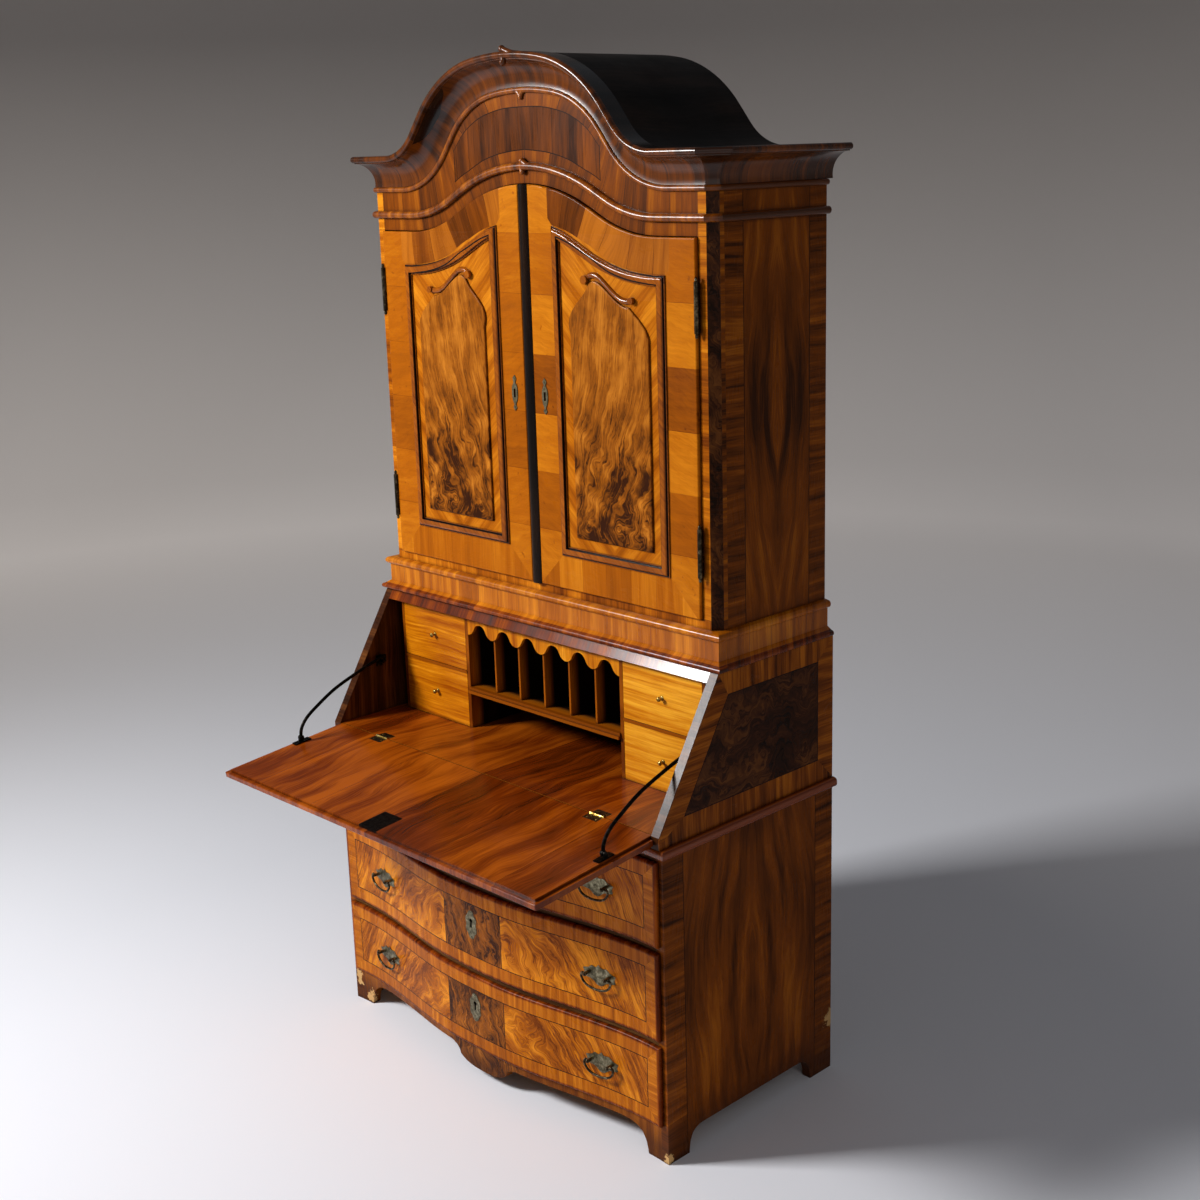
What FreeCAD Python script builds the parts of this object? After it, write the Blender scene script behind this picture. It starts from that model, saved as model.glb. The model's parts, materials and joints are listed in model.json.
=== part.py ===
import FreeCAD, Part
import math
import os

os.makedirs("parts", exist_ok=True)
V = FreeCAD.Vector

# An escritoire in three tiers: a serpentine chest of drawers, a desk with a fall flap, and a cabinet under
# an arched cornice. Sizes are in millimetres. While the pieces are drawn, x is zero in the middle, y is zero
# at the front corners of the chest and grows to the back, and z is zero on the floor.

# Shared clearances
overrun = 2.0
pin_clearance = 0.05
curve_gap = 0.4
slide_gap = 0.5
seam_gap = 1.2
seat_gap = 0.1

# Chest of drawers
chest_half_width = 550.0
chest_depth = 550.0
side_board = 22.0
bottom_board = 20.0
drawer_floor = 91.0
bottom_opening = 178.0
middle_opening = 192.0
top_opening = 181.0
dust_board = 22.0
top_rail = 14.0
chest_top = 22.0
chest_top_overhang = 14.0
chest_top_round = 9.0
back_board = 12.0
bulge = 47.0
bulge_x_shares = (0.0, 0.18, 0.345, 0.5, 0.67, 0.845, 1.0)
bulge_y_shares = (1.0, 0.95, 0.74, 0.43, 0.12, -0.06, 0.0)

# Apron and feet
apron_thickness = 22.0
apron_flat = 64.0
drop_low = 24.0
drop_half_width = 105.0
drop_shares = ((0.0, 0.0), (0.3, 0.03), (0.55, 0.15), (0.76, 0.42))
drop_shoulder_shares = ((0.76, 0.42), (0.8, 0.66), (0.92, 0.9), (1.2, 1.0))
front_foot = 40.0
front_bracket = 88.0
side_flat = 56.0
front_side_foot = 65.0
rear_side_foot = 75.0
side_bracket = 50.0
bracket_shares = ((0.0, 0.0), (0.04, 0.3), (0.13, 0.6), (0.32, 0.85), (0.62, 0.97), (1.0, 1.0))

# Large drawers
lip = 11.0
lip_overlap = 4.0
lip_side_overlap = 9.0
lip_round = 5.0
drawer_side_gap = 1.5
drawer_front_inset = 14.0
drawer_wall = 12.0
drawer_bottom = 8.0
drawer_rear_gap = 24.0
drawer_wall_drop = 14.0

# Bail handles
handle_reach = 372.0
handle_half_length = 44.0
handle_half_height = 23.0
handle_plate = 2.2
handle_shares = (
    (0.0, 1.0),
    (0.2, 0.8),
    (0.44, 0.86),
    (0.68, 0.56),
    (1.0, 0.34),
    (0.93, 0.02),
    (0.98, -0.24),
    (0.66, -0.46),
    (0.4, -0.58),
    (0.2, -0.88),
    (0.0, -1.0),
)
post_spread = 27.0
post_rise = 4.0
post_radius = 4.0
post_length = 15.0
post_head = 4.5
bail_radius = 2.6
bail_drop = 30.0
bail_pin = 11.0
bail_collar = 3.4
bail_shares = (
    (1.3, 0.0),
    (1.42, -0.06),
    (1.47, -0.22),
    (1.38, -0.48),
    (1.07, -0.78),
    (0.55, -0.95),
    (0.0, -1.0),
)

# Escutcheons
key_half_width = 19.0
key_half_height = 35.0
key_rise = 13.0
key_plate = 1.6
key_shares = (
    (0.0, 1.0),
    (0.42, 0.88),
    (0.6, 0.68),
    (0.95, 0.42),
    (0.88, 0.0),
    (0.95, -0.42),
    (0.6, -0.68),
    (0.42, -0.88),
    (0.0, -1.0),
)
keyhole_radius = 5.0
keyhole_rise = 10.0
keyhole_slot = 17.0
keyhole_slot_width = 5.5
door_key_half_width = 9.0
door_key_half_height = 39.0
door_key_shares = (
    (0.0, 1.0),
    (0.32, 0.92),
    (0.62, 0.8),
    (0.3, 0.64),
    (0.7, 0.44),
    (1.0, 0.12),
    (0.95, -0.22),
    (0.55, -0.5),
    (0.28, -0.68),
    (0.62, -0.82),
    (0.3, -0.92),
    (0.0, -1.0),
)
door_slot_height = 19.0
door_slot_width = 6.0
door_key_reach = 49.0
door_key_rise = 423.0

# Desk
bed = 27.0
hinge_y = -3.0
slope_deg = 58.6
rebate = 5.0
desk_top = 22.0
desk_rise = 330.0
fall_thickness = 18.0
fall_top_gap = 6.2
fall_side_gap = 2.0
fall_lip = 10.0
fall_lip_start = 10.0
fall_droop_deg = 5.3
fall_edge_round = 2.0
fall_hinge_x = 367.0
fall_hinge_length = 42.0
fall_leaf_depth = 24.0
fall_leaf = 1.6
fall_knuckle_radius = 3.2
fall_pin_radius = 1.6
knuckle_gap = 0.4
knuckle_share = 1 / 3
fall_lock_half_width = 31.0
fall_lock_depth = 72.0
fall_lock_plate = 2.0

# Stays of the fall
stay_inset = 12.0
stay_foot_reach = 128.5
stay_foot_length = 44.0
stay_foot_half_width = 8.0
stay_foot_plate = 3.0
stay_pin_height = 11.0
stay_pin_radius = 3.0
stay_eye_radius = 6.6
stay_eye_width = 6.0
stay_head_radius = 5.0
stay_head = 2.0
stay_lug = 3.0
stay_rod_radius = 4.0
stay_reach = 261.0
stay_rise = 150.0
stay_shares = (
    (0.0, 0.04),
    (0.008, 0.13),
    (0.06, 0.27),
    (0.197, 0.44),
    (0.366, 0.606),
    (0.57, 0.745),
    (0.825, 0.885),
    (1.0, 0.965),
)
stay_hook = 15.0
stay_peg_radius = 4.0
stay_peg_length = 18.0
stay_peg_plate = 2.0
stay_peg_half_height = 14.0
stay_peg_half_width = 9.0

# Nest of small drawers and pigeonholes
nest_setback = 21.3
nest_back_gap = 8.0
nest_side = 8.0
stay_room = 23.0
nest_upright = 10.0
nest_upright_x = 264.0
nest_rail = 7.0
nest_rail_rise = 135.0
nest_rail_proud = 2.0
shelf_rise = 90.0
shelf_thickness = 14.0
shelf_proud = 8.0
shelf_step = 4.0
bay_count = 6
divider = 5.0
divider_setback = 9.0
valance_thickness = 8.0
valance_drop = 47.0
valance_arch_drop = 18.0
valance_shares = ((0.0, 0.0), (0.1, 0.06), (0.2, 0.28), (0.27, 0.62), (0.36, 0.9), (0.5, 1.0))
small_gap = 1.0
small_front = 12.0
small_wall = 7.0
small_bottom = 5.0
small_rear_gap = 46.0
small_wall_drop = 10.0
knob_radius = 5.5
knob_stem_radius = 2.2
knob_length = 14.0

# Waist and plinth between desk and cabinet
waist_height = 41.0
waist_depth = 22.0
waist_band = 8.0
waist_nose = 20.0
waist_nose_bulge = 6.0
waist_nose_height = 12.0
waist_hollow_height = 20.0
plinth_height = 39.0
plinth_band_height = 21.0
torus_step = 11.0
torus_bulge = 6.0
torus_height = 16.0

# Cabinet
cabinet_side_step = 15.5
cabinet_front_step = 17.3
cabinet_rear_step = 10.0
cant = 18.5
post_width = 39.5
post_depth = 31.0
frame_board = 24.0
bottom_rail = 18.0
cabinet_side = 22.0
shelf_board = 20.0
lower_shelf_rise = 263.0
upper_shelf_rise = 518.0
shelf_setback = 30.0
crown_board = 18.0
crown_board_gap = 5.0

# Doors
door_gap = 2.0
door_proud = 8.4
door_thickness = 24.0
door_round = 3.0
astragal_half_width = 14.0
astragal_proud = 7.0
astragal_gap = 1.5
hinge_side = 4.0
hinge_out = 2.0
hinge_radius = 5.0
hinge_pin_radius = 2.4
hinge_length = 100.0
hinge_plate = 2.2
hinge_plate_depth = 18.0
lower_hinge_rise = 140.0
upper_hinge_drop = 134.0
hinge_finial = 3.0
hinge_pin_share = 0.66
hinge_bore_share = 0.75

# Arch over the doors, which the mouldings beside it follow at a distance
door_rise = 786.0
door_crown_radius = 420.0
door_slope_deg = 27.0
door_crown_deg = 13.0
door_straight = 45.0
door_foot_radius = 340.0

# Arch under the cornice
frieze_height = 93.0
cornice_crown_radius = 600.0
cornice_shoulder_radius = 215.0
cornice_slope_deg = 51.5
cornice_crown_deg = 9.1
cornice_straight = 51.4
cornice_foot_radius = 200.0
cornice_height = 76.0
cornice_cove_foot = 3.0
cornice_cove_top = 60.0
cornice_cove_out = 42.0
cornice_cove_in_share = 0.22
cornice_cove_up_share = 0.66
cornice_nose = 46.0
cornice_nose_low = 62.0
cornice_nose_bulge = 8.0
cornice_rear_step = 16.0
roof_thickness = 16.0
roof_drop = 2.0

# Beads on the frieze
bead_radius = 6.0
bead_step = 2.0
frieze_moulding_rise = 37.0
frieze_moulding_half_height = 8.0
frieze_moulding_step = 5.0
frieze_moulding_bulge = 8.0

# Scrolled ends where the front mouldings break in the middle
crest_reach = 70.0
crest_rise = 12.0
crest_radius = 6.0
crest_ball = 7.5
crest_right_shares = ((1.0, -0.3), (0.64, 0.0), (0.31, 0.32), (0.11, 0.7), (-0.04, 1.0))
crest_left_shares = ((-0.71, -0.11), (-0.36, 0.08), (-0.14, -0.08), (0.0, -0.64), (-0.03, -1.2))
dip_reach = 45.0
dip_drop = 14.0
dip_radius = 5.0
dip_out = 2.5
dip_ball = 5.5
dip_right_shares = ((1.0, -0.12), (0.55, 0.02), (0.27, 0.0), (0.09, -0.42), (0.0, -1.0))
dip_left_shares = ((-1.0, -0.12), (-0.5, 0.0), (-0.18, -0.3), (0.0, -1.0))
break_reach = 42.0
break_rise = 11.0
break_radius = 5.5
break_out = 6.0
break_ball = 6.5
break_right_shares = ((1.0, -0.2), (0.52, 0.1), (0.21, 0.55), (0.02, 1.0))
break_left_shares = ((-0.72, -0.1), (-0.29, 0.09), (-0.07, -0.36), (0.02, -1.0))

# Applied mouldings and raised field of each door
panel_inner = 88.0
stile_width = 80.5
panel_rise = 76.0
panel_drop = 74.0
panel_width = 22.0
panel_step = 4.0
panel_step_height = 3.0
panel_height = 8.0
panel_round = 4.5
field_inner_step = 51.0
field_outer_step = 45.5
field_rise = 47.0
field_shoulder_drop = 203.0
field_drop = 92.0
field_proud = 5.0
field_round = 2.5
field_inner_shares = ((0.0, 0.0), (0.005, 0.36), (0.11, 0.61), (0.225, 0.85))
field_crown_shares = ((0.225, 0.85), (0.33, 1.0), (0.44, 0.9), (0.55, 0.74), (0.66, 0.6), (0.76, 0.55))
field_outer_shares = ((0.76, 0.55), (0.87, 0.36), (0.965, 0.15), (1.0, 0.0))
scroll_radius = 6.0
scroll_volute = 9.0
scroll_block = 7.0
scroll_shares = (
    (0.21, 1.02),
    (0.27, 1.1),
    (0.345, 1.1),
    (0.43, 1.0),
    (0.525, 0.85),
    (0.63, 0.71),
    (0.73, 0.66),
    (0.8, 0.68),
)

# Heights that follow from the stack
middle_floor = drawer_floor + bottom_opening + dust_board
top_floor = middle_floor + middle_opening + dust_board
rail_z = top_floor + top_opening
chest_top_z = rail_z + top_rail
bed_z = chest_top_z + chest_top
desk_z = bed_z + bed
desk_top_z = bed_z + desk_rise
ceiling_z = desk_top_z - desk_top
waist_z = desk_top_z
plinth_z = waist_z + waist_height
cabinet_z = plinth_z + plinth_height
door_low = cabinet_z + bottom_rail + door_gap
door_top_flat = cabinet_z + door_rise
cornice_flat = door_top_flat + frieze_height
cornice_cove_start = bead_radius + curve_gap
roof_low = cornice_height - roof_drop - roof_thickness
nest_rail_z = desk_z + nest_rail_rise
shelf_z = desk_z + shelf_rise
valance_low = ceiling_z - valance_drop
valance_high = ceiling_z - valance_arch_drop
shelf_levels = (cabinet_z + lower_shelf_rise, cabinet_z + upper_shelf_rise)
hinge_levels = (door_low + lower_hinge_rise, door_top_flat - upper_hinge_drop)
door_key_z = door_low + door_key_rise
panel_low = door_low + panel_rise
field_low = panel_low + field_rise
field_shoulder = door_top_flat - field_shoulder_drop
field_top = door_top_flat - field_drop

# Places across and along that follow from the chest and the slope of the desk
slope = math.radians(slope_deg)
side_inner = chest_half_width - side_board
stay_x = side_inner - stay_inset
nest_side_x = side_inner - stay_room
cabinet_half_width = chest_half_width - cabinet_side_step
post_edge = cabinet_half_width - post_width
door_edge = post_edge - door_gap
hinge_x = door_edge + hinge_side
panel_outer = door_edge - stile_width
field_outer = panel_outer - field_outer_step
field_inner = panel_inner + field_inner_step
edge_y = hinge_y - rebate / math.sin(slope)
fall_length = (ceiling_z - desk_z) / math.sin(slope) - fall_top_gap
drawer_depth = chest_depth - back_board - drawer_front_inset - drawer_rear_gap
nest_rear = chest_depth - back_board - nest_back_gap
cabinet_rear = chest_depth - cabinet_rear_step
cornice_rear = cabinet_rear + cornice_rear_step


def slant_y(z):
    """Front of the desk's slanted edge at a height."""
    return edge_y + (z - desk_z) / math.tan(slope)


nest_front = slant_y(ceiling_z) + nest_setback
small_depth = nest_rear - nest_front - small_rear_gap
cabinet_front = slant_y(desk_top_z) + cabinet_front_step
door_front = cabinet_front - door_proud
hinge_axis_y = door_front - hinge_out

X_AXIS = V(1, 0, 0)
Y_AXIS = V(0, 1, 0)
Z_AXIS = V(0, 0, 1)
ORIGIN = V(0, 0, 0)


def box(x0, x1, y0, y1, z0, z1):
    return Part.makeBox(x1 - x0, y1 - y0, z1 - z0, V(x0, y0, z0))


def rod(radius, start, end):
    direction = end.sub(start)
    return Part.makeCylinder(radius, direction.Length, start, direction)


def mirrored(shape):
    return shape.mirror(ORIGIN, X_AXIS)


def both(shape):
    return [shape, mirrored(shape)]


def join(shapes):
    return shapes[0].multiFuse(shapes[1:]).removeSplitter()


def line(a, b):
    return Part.makeLine(a, b)


def arc(a, middle, b):
    return Part.Arc(a, middle, b).toShape()


def curve(points):
    spline = Part.BSplineCurve()
    spline.interpolate(points)
    return spline.toShape()


def prism(edges, reach):
    face = Part.Face(Part.Wire(Part.__sortEdges__(edges)))
    return face.extrude(reach)


def polygon(points, reach):
    return Part.Face(Part.makePolygon(points + points[:1])).extrude(reach)


def swept_rod(points, radius, normal):
    """Round rod along a flat curve through the points; normal stands on the curve's plane."""
    spline = Part.BSplineCurve()
    spline.interpolate(points)
    tangent = spline.tangent(spline.FirstParameter)[0]
    sweep = Part.BRepOffsetAPI.MakePipeShell(Part.Wire(spline.toShape()))
    sweep.setBiNormalMode(normal)
    sweep.add(Part.Wire(Part.makeCircle(radius, points[0], tangent)))
    sweep.build()
    sweep.makeSolid()
    return sweep.shape()


def serpentine(half_width, forward):
    points = []
    for x_share, y_share in zip(bulge_x_shares, bulge_y_shares):
        points.append(V(x_share * half_width, -bulge * y_share - forward, 0))
    left = [V(-p.x, p.y, 0) for p in reversed(points[1:])]
    spline = Part.BSplineCurve()
    spline.interpolate(left + points)
    return spline


def serpentine_slab(half_width, forward, rear, z0, z1):
    front = serpentine(half_width, forward)
    end_y = -bulge * bulge_y_shares[-1] - forward
    left, right = V(-half_width, end_y, 0), V(half_width, end_y, 0)
    back_left, back_right = V(-half_width, rear, 0), V(half_width, rear, 0)
    edges = [front.toShape(), line(right, back_right), line(back_right, back_left), line(back_left, left)]
    slab = prism(edges, V(0, 0, z1 - z0))
    slab.translate(V(0, 0, z0))
    return slab


def serpentine_strip(half_width, forward, backward, z0, z1):
    outer, inner = serpentine(half_width, forward), serpentine(half_width, -backward)
    end_y = -bulge * bulge_y_shares[-1]
    edges = [outer.toShape(), inner.toShape()]
    for x in (-half_width, half_width):
        edges.append(line(V(x, end_y - forward, 0), V(x, end_y + backward, 0)))
    strip = prism(edges, V(0, 0, z1 - z0))
    strip.translate(V(0, 0, z0))
    return strip


def serpentine_place(x, forward):
    front = serpentine(chest_half_width, forward)
    at = front.parameter(V(x, -forward, 0))
    tangent = front.tangent(at)[0]
    if tangent.x < 0:
        tangent = tangent.negative()
    turn = math.degrees(math.atan2(tangent.y, tangent.x))
    return front.value(at), turn


def turned(shape, point, turn):
    moved = shape.copy()
    moved.rotate(ORIGIN, Z_AXIS, turn)
    moved.translate(point)
    return moved


def front_edges(solid):
    face = min(solid.Faces, key=lambda f: f.CenterOfMass.y)
    return face.Edges


def outline_plate(shares, half_width, half_height, thickness):
    right = [V(x * half_width, 0, z * half_height) for x, z in shares]
    left = [V(-p.x, 0, p.z) for p in reversed(right[1:-1])]
    spline = Part.BSplineCurve()
    spline.interpolate(right + left, PeriodicFlag=True)
    return Part.Face(Part.Wire(spline.toShape())).extrude(V(0, -thickness, 0))


def keyhole(depth):
    hole = rod(keyhole_radius, V(0, -depth, keyhole_rise), V(0, depth, keyhole_rise))
    half = keyhole_slot_width / 2
    return hole.fuse(box(-half, half, -depth, depth, keyhole_rise - keyhole_slot, keyhole_rise))


def door_slot(depth):
    half = door_slot_width / 2
    return box(-half, half, -depth, depth, -door_slot_height / 2, door_slot_height / 2)


def arch(flat, crown_radius, shoulder_radius, slope_angle, crown_angle, straight, foot_radius):
    return {
        "flat": flat,
        "crown": crown_radius,
        "shoulder": shoulder_radius,
        "slope": math.radians(slope_angle),
        "turn": math.radians(crown_angle),
        "straight": straight,
        "foot": foot_radius,
    }


door_arch = arch(
    door_top_flat,
    door_crown_radius,
    door_crown_radius,
    door_slope_deg,
    door_crown_deg,
    door_straight,
    door_foot_radius,
)
cornice_arch = arch(
    cornice_flat,
    cornice_crown_radius,
    cornice_shoulder_radius,
    cornice_slope_deg,
    cornice_crown_deg,
    cornice_straight,
    cornice_foot_radius,
)


def arch_runs(shape, off):
    """Right half of an arch from its crown outwards, as (start, middle, end) points; off moves it out."""
    crown, shoulder, foot = shape["crown"] + off, shape["shoulder"] + off, shape["foot"] - off
    turn, slope_angle = shape["turn"], shape["slope"]
    run = [(0.0, 0.0)]

    def bend(radius, start, end, sign):
        x, z = run[-1]
        middle = (start + end) / 2
        for angle in (middle, end):
            dx = sign * radius * (math.sin(angle) - math.sin(start))
            dz = sign * radius * (math.cos(angle) - math.cos(start))
            run.append((x + dx, z + dz))

    bend(crown, 0.0, turn, 1)
    bend(shoulder, turn, slope_angle, 1)
    x, z = run[-1]
    reach = shape["straight"]
    run.append((x + reach * math.cos(slope_angle) / 2, z - reach * math.sin(slope_angle) / 2))
    run.append((x + reach * math.cos(slope_angle), z - reach * math.sin(slope_angle)))
    bend(foot, slope_angle, 0.0, -1)
    lift = shape["flat"] + off - run[-1][1]
    points = [V(px, 0, pz + lift) for px, pz in run]
    return [tuple(points[i : i + 3]) for i in range(0, len(points) - 1, 2)]


def arch_height(shape, off, x):
    """Height of the arch at x, from the run that holds it."""
    for start, middle, end in arch_runs(shape, off):
        if start.x <= abs(x) <= end.x:
            edge = arc(start, middle, end) if abs(bow(start, middle, end)) > curve_gap else line(start, end)
            low, high = V(abs(x), 0, 0), V(abs(x), 0, 2 * end.z)
            return edge.distToShape(line(low, high))[1][0][0].z
    return shape["flat"] + off


def bow(start, middle, end):
    chord = end.sub(start)
    return chord.cross(middle.sub(start)).Length / chord.Length


def arch_edges(shape, off, x_left, x_right, y):
    """Edges along the arch from x_left to x_right; each end is at the crown's middle or past the foot."""
    edges = []
    for sign in (-1, 1):
        if (sign < 0 and x_left >= 0) or (sign > 0 and x_right <= 0):
            continue
        for start, middle, end in arch_runs(shape, off):
            a, m, b = (V(sign * p.x, y, p.z) for p in (start, middle, end))
            edges.append(arc(a, m, b) if abs(bow(a, m, b)) > curve_gap else line(a, b))
        foot = V(sign * end.x, y, end.z)
        limit = x_left if sign < 0 else x_right
        edges.append(line(foot, V(limit, y, end.z)))
    return edges


def arch_block(shape, off, half_width, low, y0, y1):
    """Everything below the arch and above low, over the whole width."""
    top = shape["flat"] + off
    edges = arch_edges(shape, off, -half_width, half_width, y0)
    corners = [V(half_width, y0, top), V(half_width, y0, low)]
    corners += [V(-half_width, y0, low), V(-half_width, y0, top)]
    edges += [line(corners[i], corners[i + 1]) for i in range(3)]
    return prism(edges, V(0, y1 - y0, 0))


def profile_edges(points, place):
    """Edges of a closed moulding profile; a pair of points in the list is an arc's middle and end."""
    edges = []
    last = points[0]
    for item in points[1:] + points[:1]:
        if isinstance(item[0], tuple):
            edges.append(arc(place(last), place(item[0]), place(item[1])))
            last = item[1]
        else:
            edges.append(line(place(last), place(item)))
            last = item
    return edges


def profile_face(points, place):
    return Part.Face(Part.Wire(Part.__sortEdges__(profile_edges(points, place))))


def profile_reach(points):
    flat = []
    for item in points:
        flat += list(item) if isinstance(item[0], tuple) else [item]
    return max(p[0] for p in flat), min(p[0] for p in flat)


def mitre(before, after):
    """Unit step outwards along a mitre between two outward directions, longer than one as the corner asks."""
    return before.add(after).multiply(1 / (1 + before.dot(after)))


def plan_wedge(points, z0, z1):
    return polygon([V(p.x, p.y, z0) for p in points], V(0, 0, z1 - z0))


def mitred_run(profile, corners, z, low, high, front_piece=None):
    """Moulding round the front and both sides, mitred at corners that run from the front to the back."""
    out, inside = profile_reach(profile)
    out += overrun
    inside -= overrun
    points = [V(-corners[0].x, corners[0].y, 0)] + corners
    normals = []
    for a, b in zip(points, points[1:]):
        along = b.sub(a).normalize()
        normals.append(V(along.y, -along.x, 0))
    start = mitre(V(-normals[1].x, normals[1].y, 0), normals[0])
    steps = [start] + [mitre(a, b) for a, b in zip(normals, normals[1:])] + [normals[-1]]
    pieces = []
    for i, normal in enumerate(normals):
        a, b = points[i], points[i + 1]
        along = b.sub(a).normalize().multiply(out)
        begin, finish = a.sub(along), b.add(along)
        if i == 0 and front_piece:
            bar = front_piece
        else:
            face = profile_face(profile, lambda p: begin + normal * p[0] + V(0, 0, z + p[1]))
            bar = face.extrude(finish.sub(begin))
        ends = [a + steps[i] * inside, a + steps[i] * out, b + steps[i + 1] * out, b + steps[i + 1] * inside]
        pieces.append(bar.common(plan_wedge(ends, low, high)).Solids[0])
    return pieces[:1] + [piece for side in pieces[1:] for piece in both(side)]


def arched_moulding(shape, off, profile, y, half_width):
    """Moulding swept along an arch in the plane y, with level ends that reach half_width."""
    pieces = []
    for start, middle, end in arch_runs(shape, off):
        chord = end.sub(start)
        if bow(start, middle, end) < curve_gap:
            up = V(-chord.z, 0, chord.x).normalize()
            face = profile_face(profile, lambda p: start + up * p[1] + V(0, y - p[0], 0))
            pieces.append(face.extrude(chord))
        else:
            centre = arc(start, middle, end).Curve.Center
            a, b = start.sub(centre), end.sub(centre)
            axis = a.cross(b).normalize()
            tangent = axis.cross(a).normalize()
            up = V(-tangent.z, 0, tangent.x)
            face = profile_face(profile, lambda p: start + up * p[1] + V(0, y - p[0], 0))
            pieces.append(face.revolve(centre, axis, math.degrees(a.getAngle(b))))
    foot = arch_runs(shape, off)[-1][2]
    face = profile_face(profile, lambda p: foot + V(0, y - p[0], p[1]))
    pieces.append(face.extrude(V(half_width - foot.x, 0, 0)))
    half = join(pieces)
    return join([half, mirrored(half)])


def scroll_ends(middle, reach, rise, radius, ball, share_lists):
    """Round strips that leave a moulding at its broken middle, each with a ball on its end."""
    solids = []
    for shares in share_lists:
        points = [middle + V(x * reach, 0, z * rise) for x, z in shares]
        solids += [swept_rod(points, radius, Y_AXIS), Part.makeSphere(ball, points[-1])]
    return solids


def before_frieze(solids, middle):
    """What lies before the front of the cabinet, close to a middle point."""
    span = V(cabinet_half_width, 0, frieze_height)
    low, high = middle - span, middle + span
    room = box(low.x, high.x, 0, cabinet_front, low.z, high.z)
    return [solid.common(room) for solid in solids]


nodes = []


def keep(name, *solids):
    nodes.append((name, list(solids)))


def chest_side():
    flat = side_flat
    front_foot_end = front_side_foot + side_bracket
    rear_foot = chest_depth - rear_side_foot
    front_curve = [V(side_inner, front_side_foot + s * side_bracket, h * flat) for s, h in bracket_shares]
    rear_curve = [V(side_inner, rear_foot - s * side_bracket, h * flat) for s, h in bracket_shares]
    corners = [V(side_inner, 0, 0), V(side_inner, 0, chest_top_z)]
    corners += [V(side_inner, chest_depth, chest_top_z), V(side_inner, chest_depth, 0)]
    edges = [
        line(front_curve[0], corners[0]),
        line(corners[0], corners[1]),
        line(corners[1], corners[2]),
        line(corners[2], corners[3]),
        line(corners[3], rear_curve[0]),
        curve(rear_curve),
        line(V(side_inner, rear_foot - side_bracket, flat), V(side_inner, front_foot_end, flat)),
        curve(front_curve),
    ]
    board = prism(edges, V(side_board, 0, 0))
    return board.common(serpentine_slab(chest_half_width, 0, chest_depth, 0, chest_top_z)).Solids[0]


def chest_shelf(z0, z1, front):
    rear = chest_depth - back_board
    slab = serpentine_slab(chest_half_width, -front, rear, z0, z1)
    return slab.common(box(-side_inner, side_inner, -chest_depth, rear, z0, z1)).Solids[0]


def apron():
    rise = apron_flat - drop_low
    lobe = [V(x * drop_half_width, 0, drop_low + z * rise) for x, z in drop_shares]
    lobe = [V(-p.x, 0, p.z) for p in reversed(lobe[1:])] + lobe
    shoulder = [V(x * drop_half_width, 0, drop_low + z * rise) for x, z in drop_shoulder_shares]
    foot = side_inner - front_foot
    bracket = [V(foot - x * front_bracket, 0, z * apron_flat) for x, z in bracket_shares]
    half = [curve(shoulder), line(shoulder[-1], bracket[-1]), curve(bracket)]
    half += [line(bracket[0], V(side_inner, 0, 0)), line(V(side_inner, 0, 0), V(side_inner, 0, drawer_floor))]
    edges = [curve(lobe)] + half + [mirrored(edge) for edge in half]
    edges.append(line(V(-side_inner, 0, drawer_floor), V(side_inner, 0, drawer_floor)))
    board = prism(edges, V(0, 2 * chest_depth, 0))
    board.translate(V(0, -chest_depth, 0))
    return board.common(serpentine_strip(chest_half_width, 0, apron_thickness, 0, drawer_floor)).Solids[0]


def moulded_top():
    half = chest_half_width + chest_top_overhang
    slab = serpentine_slab(half, chest_top_overhang, chest_depth, chest_top_z, bed_z)
    edges = []
    for edge in slab.Edges:
        level = edge.BoundBox.ZLength < overrun
        rear = edge.BoundBox.YMin > chest_depth - overrun
        if level and not rear:
            edges.append(edge)
    return slab.makeFillet(chest_top_round, edges)


def drawer_front(floor, opening):
    half = side_inner + lip_side_overlap
    low, high = floor - lip_overlap, floor + opening + lip_overlap
    strip = serpentine_strip(chest_half_width, lip + slide_gap, -slide_gap, low, high)
    cover = strip.common(box(-half, half, -chest_depth, chest_depth, low, high)).Solids[0]
    cover = cover.makeFillet(lip_round, front_edges(cover))
    inner = side_inner - drawer_side_gap
    low, high = floor + slide_gap, floor + opening - drawer_side_gap
    core = serpentine_slab(chest_half_width, slide_gap, drawer_front_inset, low, high)
    core = core.common(box(-inner, inner, -chest_depth, drawer_front_inset, low, high))
    return join([cover, core])


def drawer_box(floor, opening):
    inner = side_inner - drawer_side_gap
    low, high = floor + slide_gap, floor + opening - drawer_wall_drop
    rear = drawer_front_inset + drawer_depth
    wall = box(inner - drawer_wall, inner, drawer_front_inset, rear, low, high)
    inside = inner - drawer_wall
    base = box(-inside, inside, drawer_front_inset, rear, low, low + drawer_bottom)
    back = box(-inside, inside, rear - drawer_wall, rear, low + drawer_bottom, high)
    return both(wall) + [base, back]


def handle():
    plate = outline_plate(handle_shares, handle_half_length, handle_half_height, handle_plate)
    reach = post_length + post_head
    for x in (-post_spread, post_spread):
        post = rod(post_radius, V(x, 0, post_rise), V(x, -reach, post_rise))
        plate = plate.fuse(post)
    end = V(handle_half_length, -post_length, post_rise)
    bore = rod(bail_radius + pin_clearance, V(-end.x, end.y, end.z), end)
    return plate.removeSplitter().cut(bore)


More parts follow.
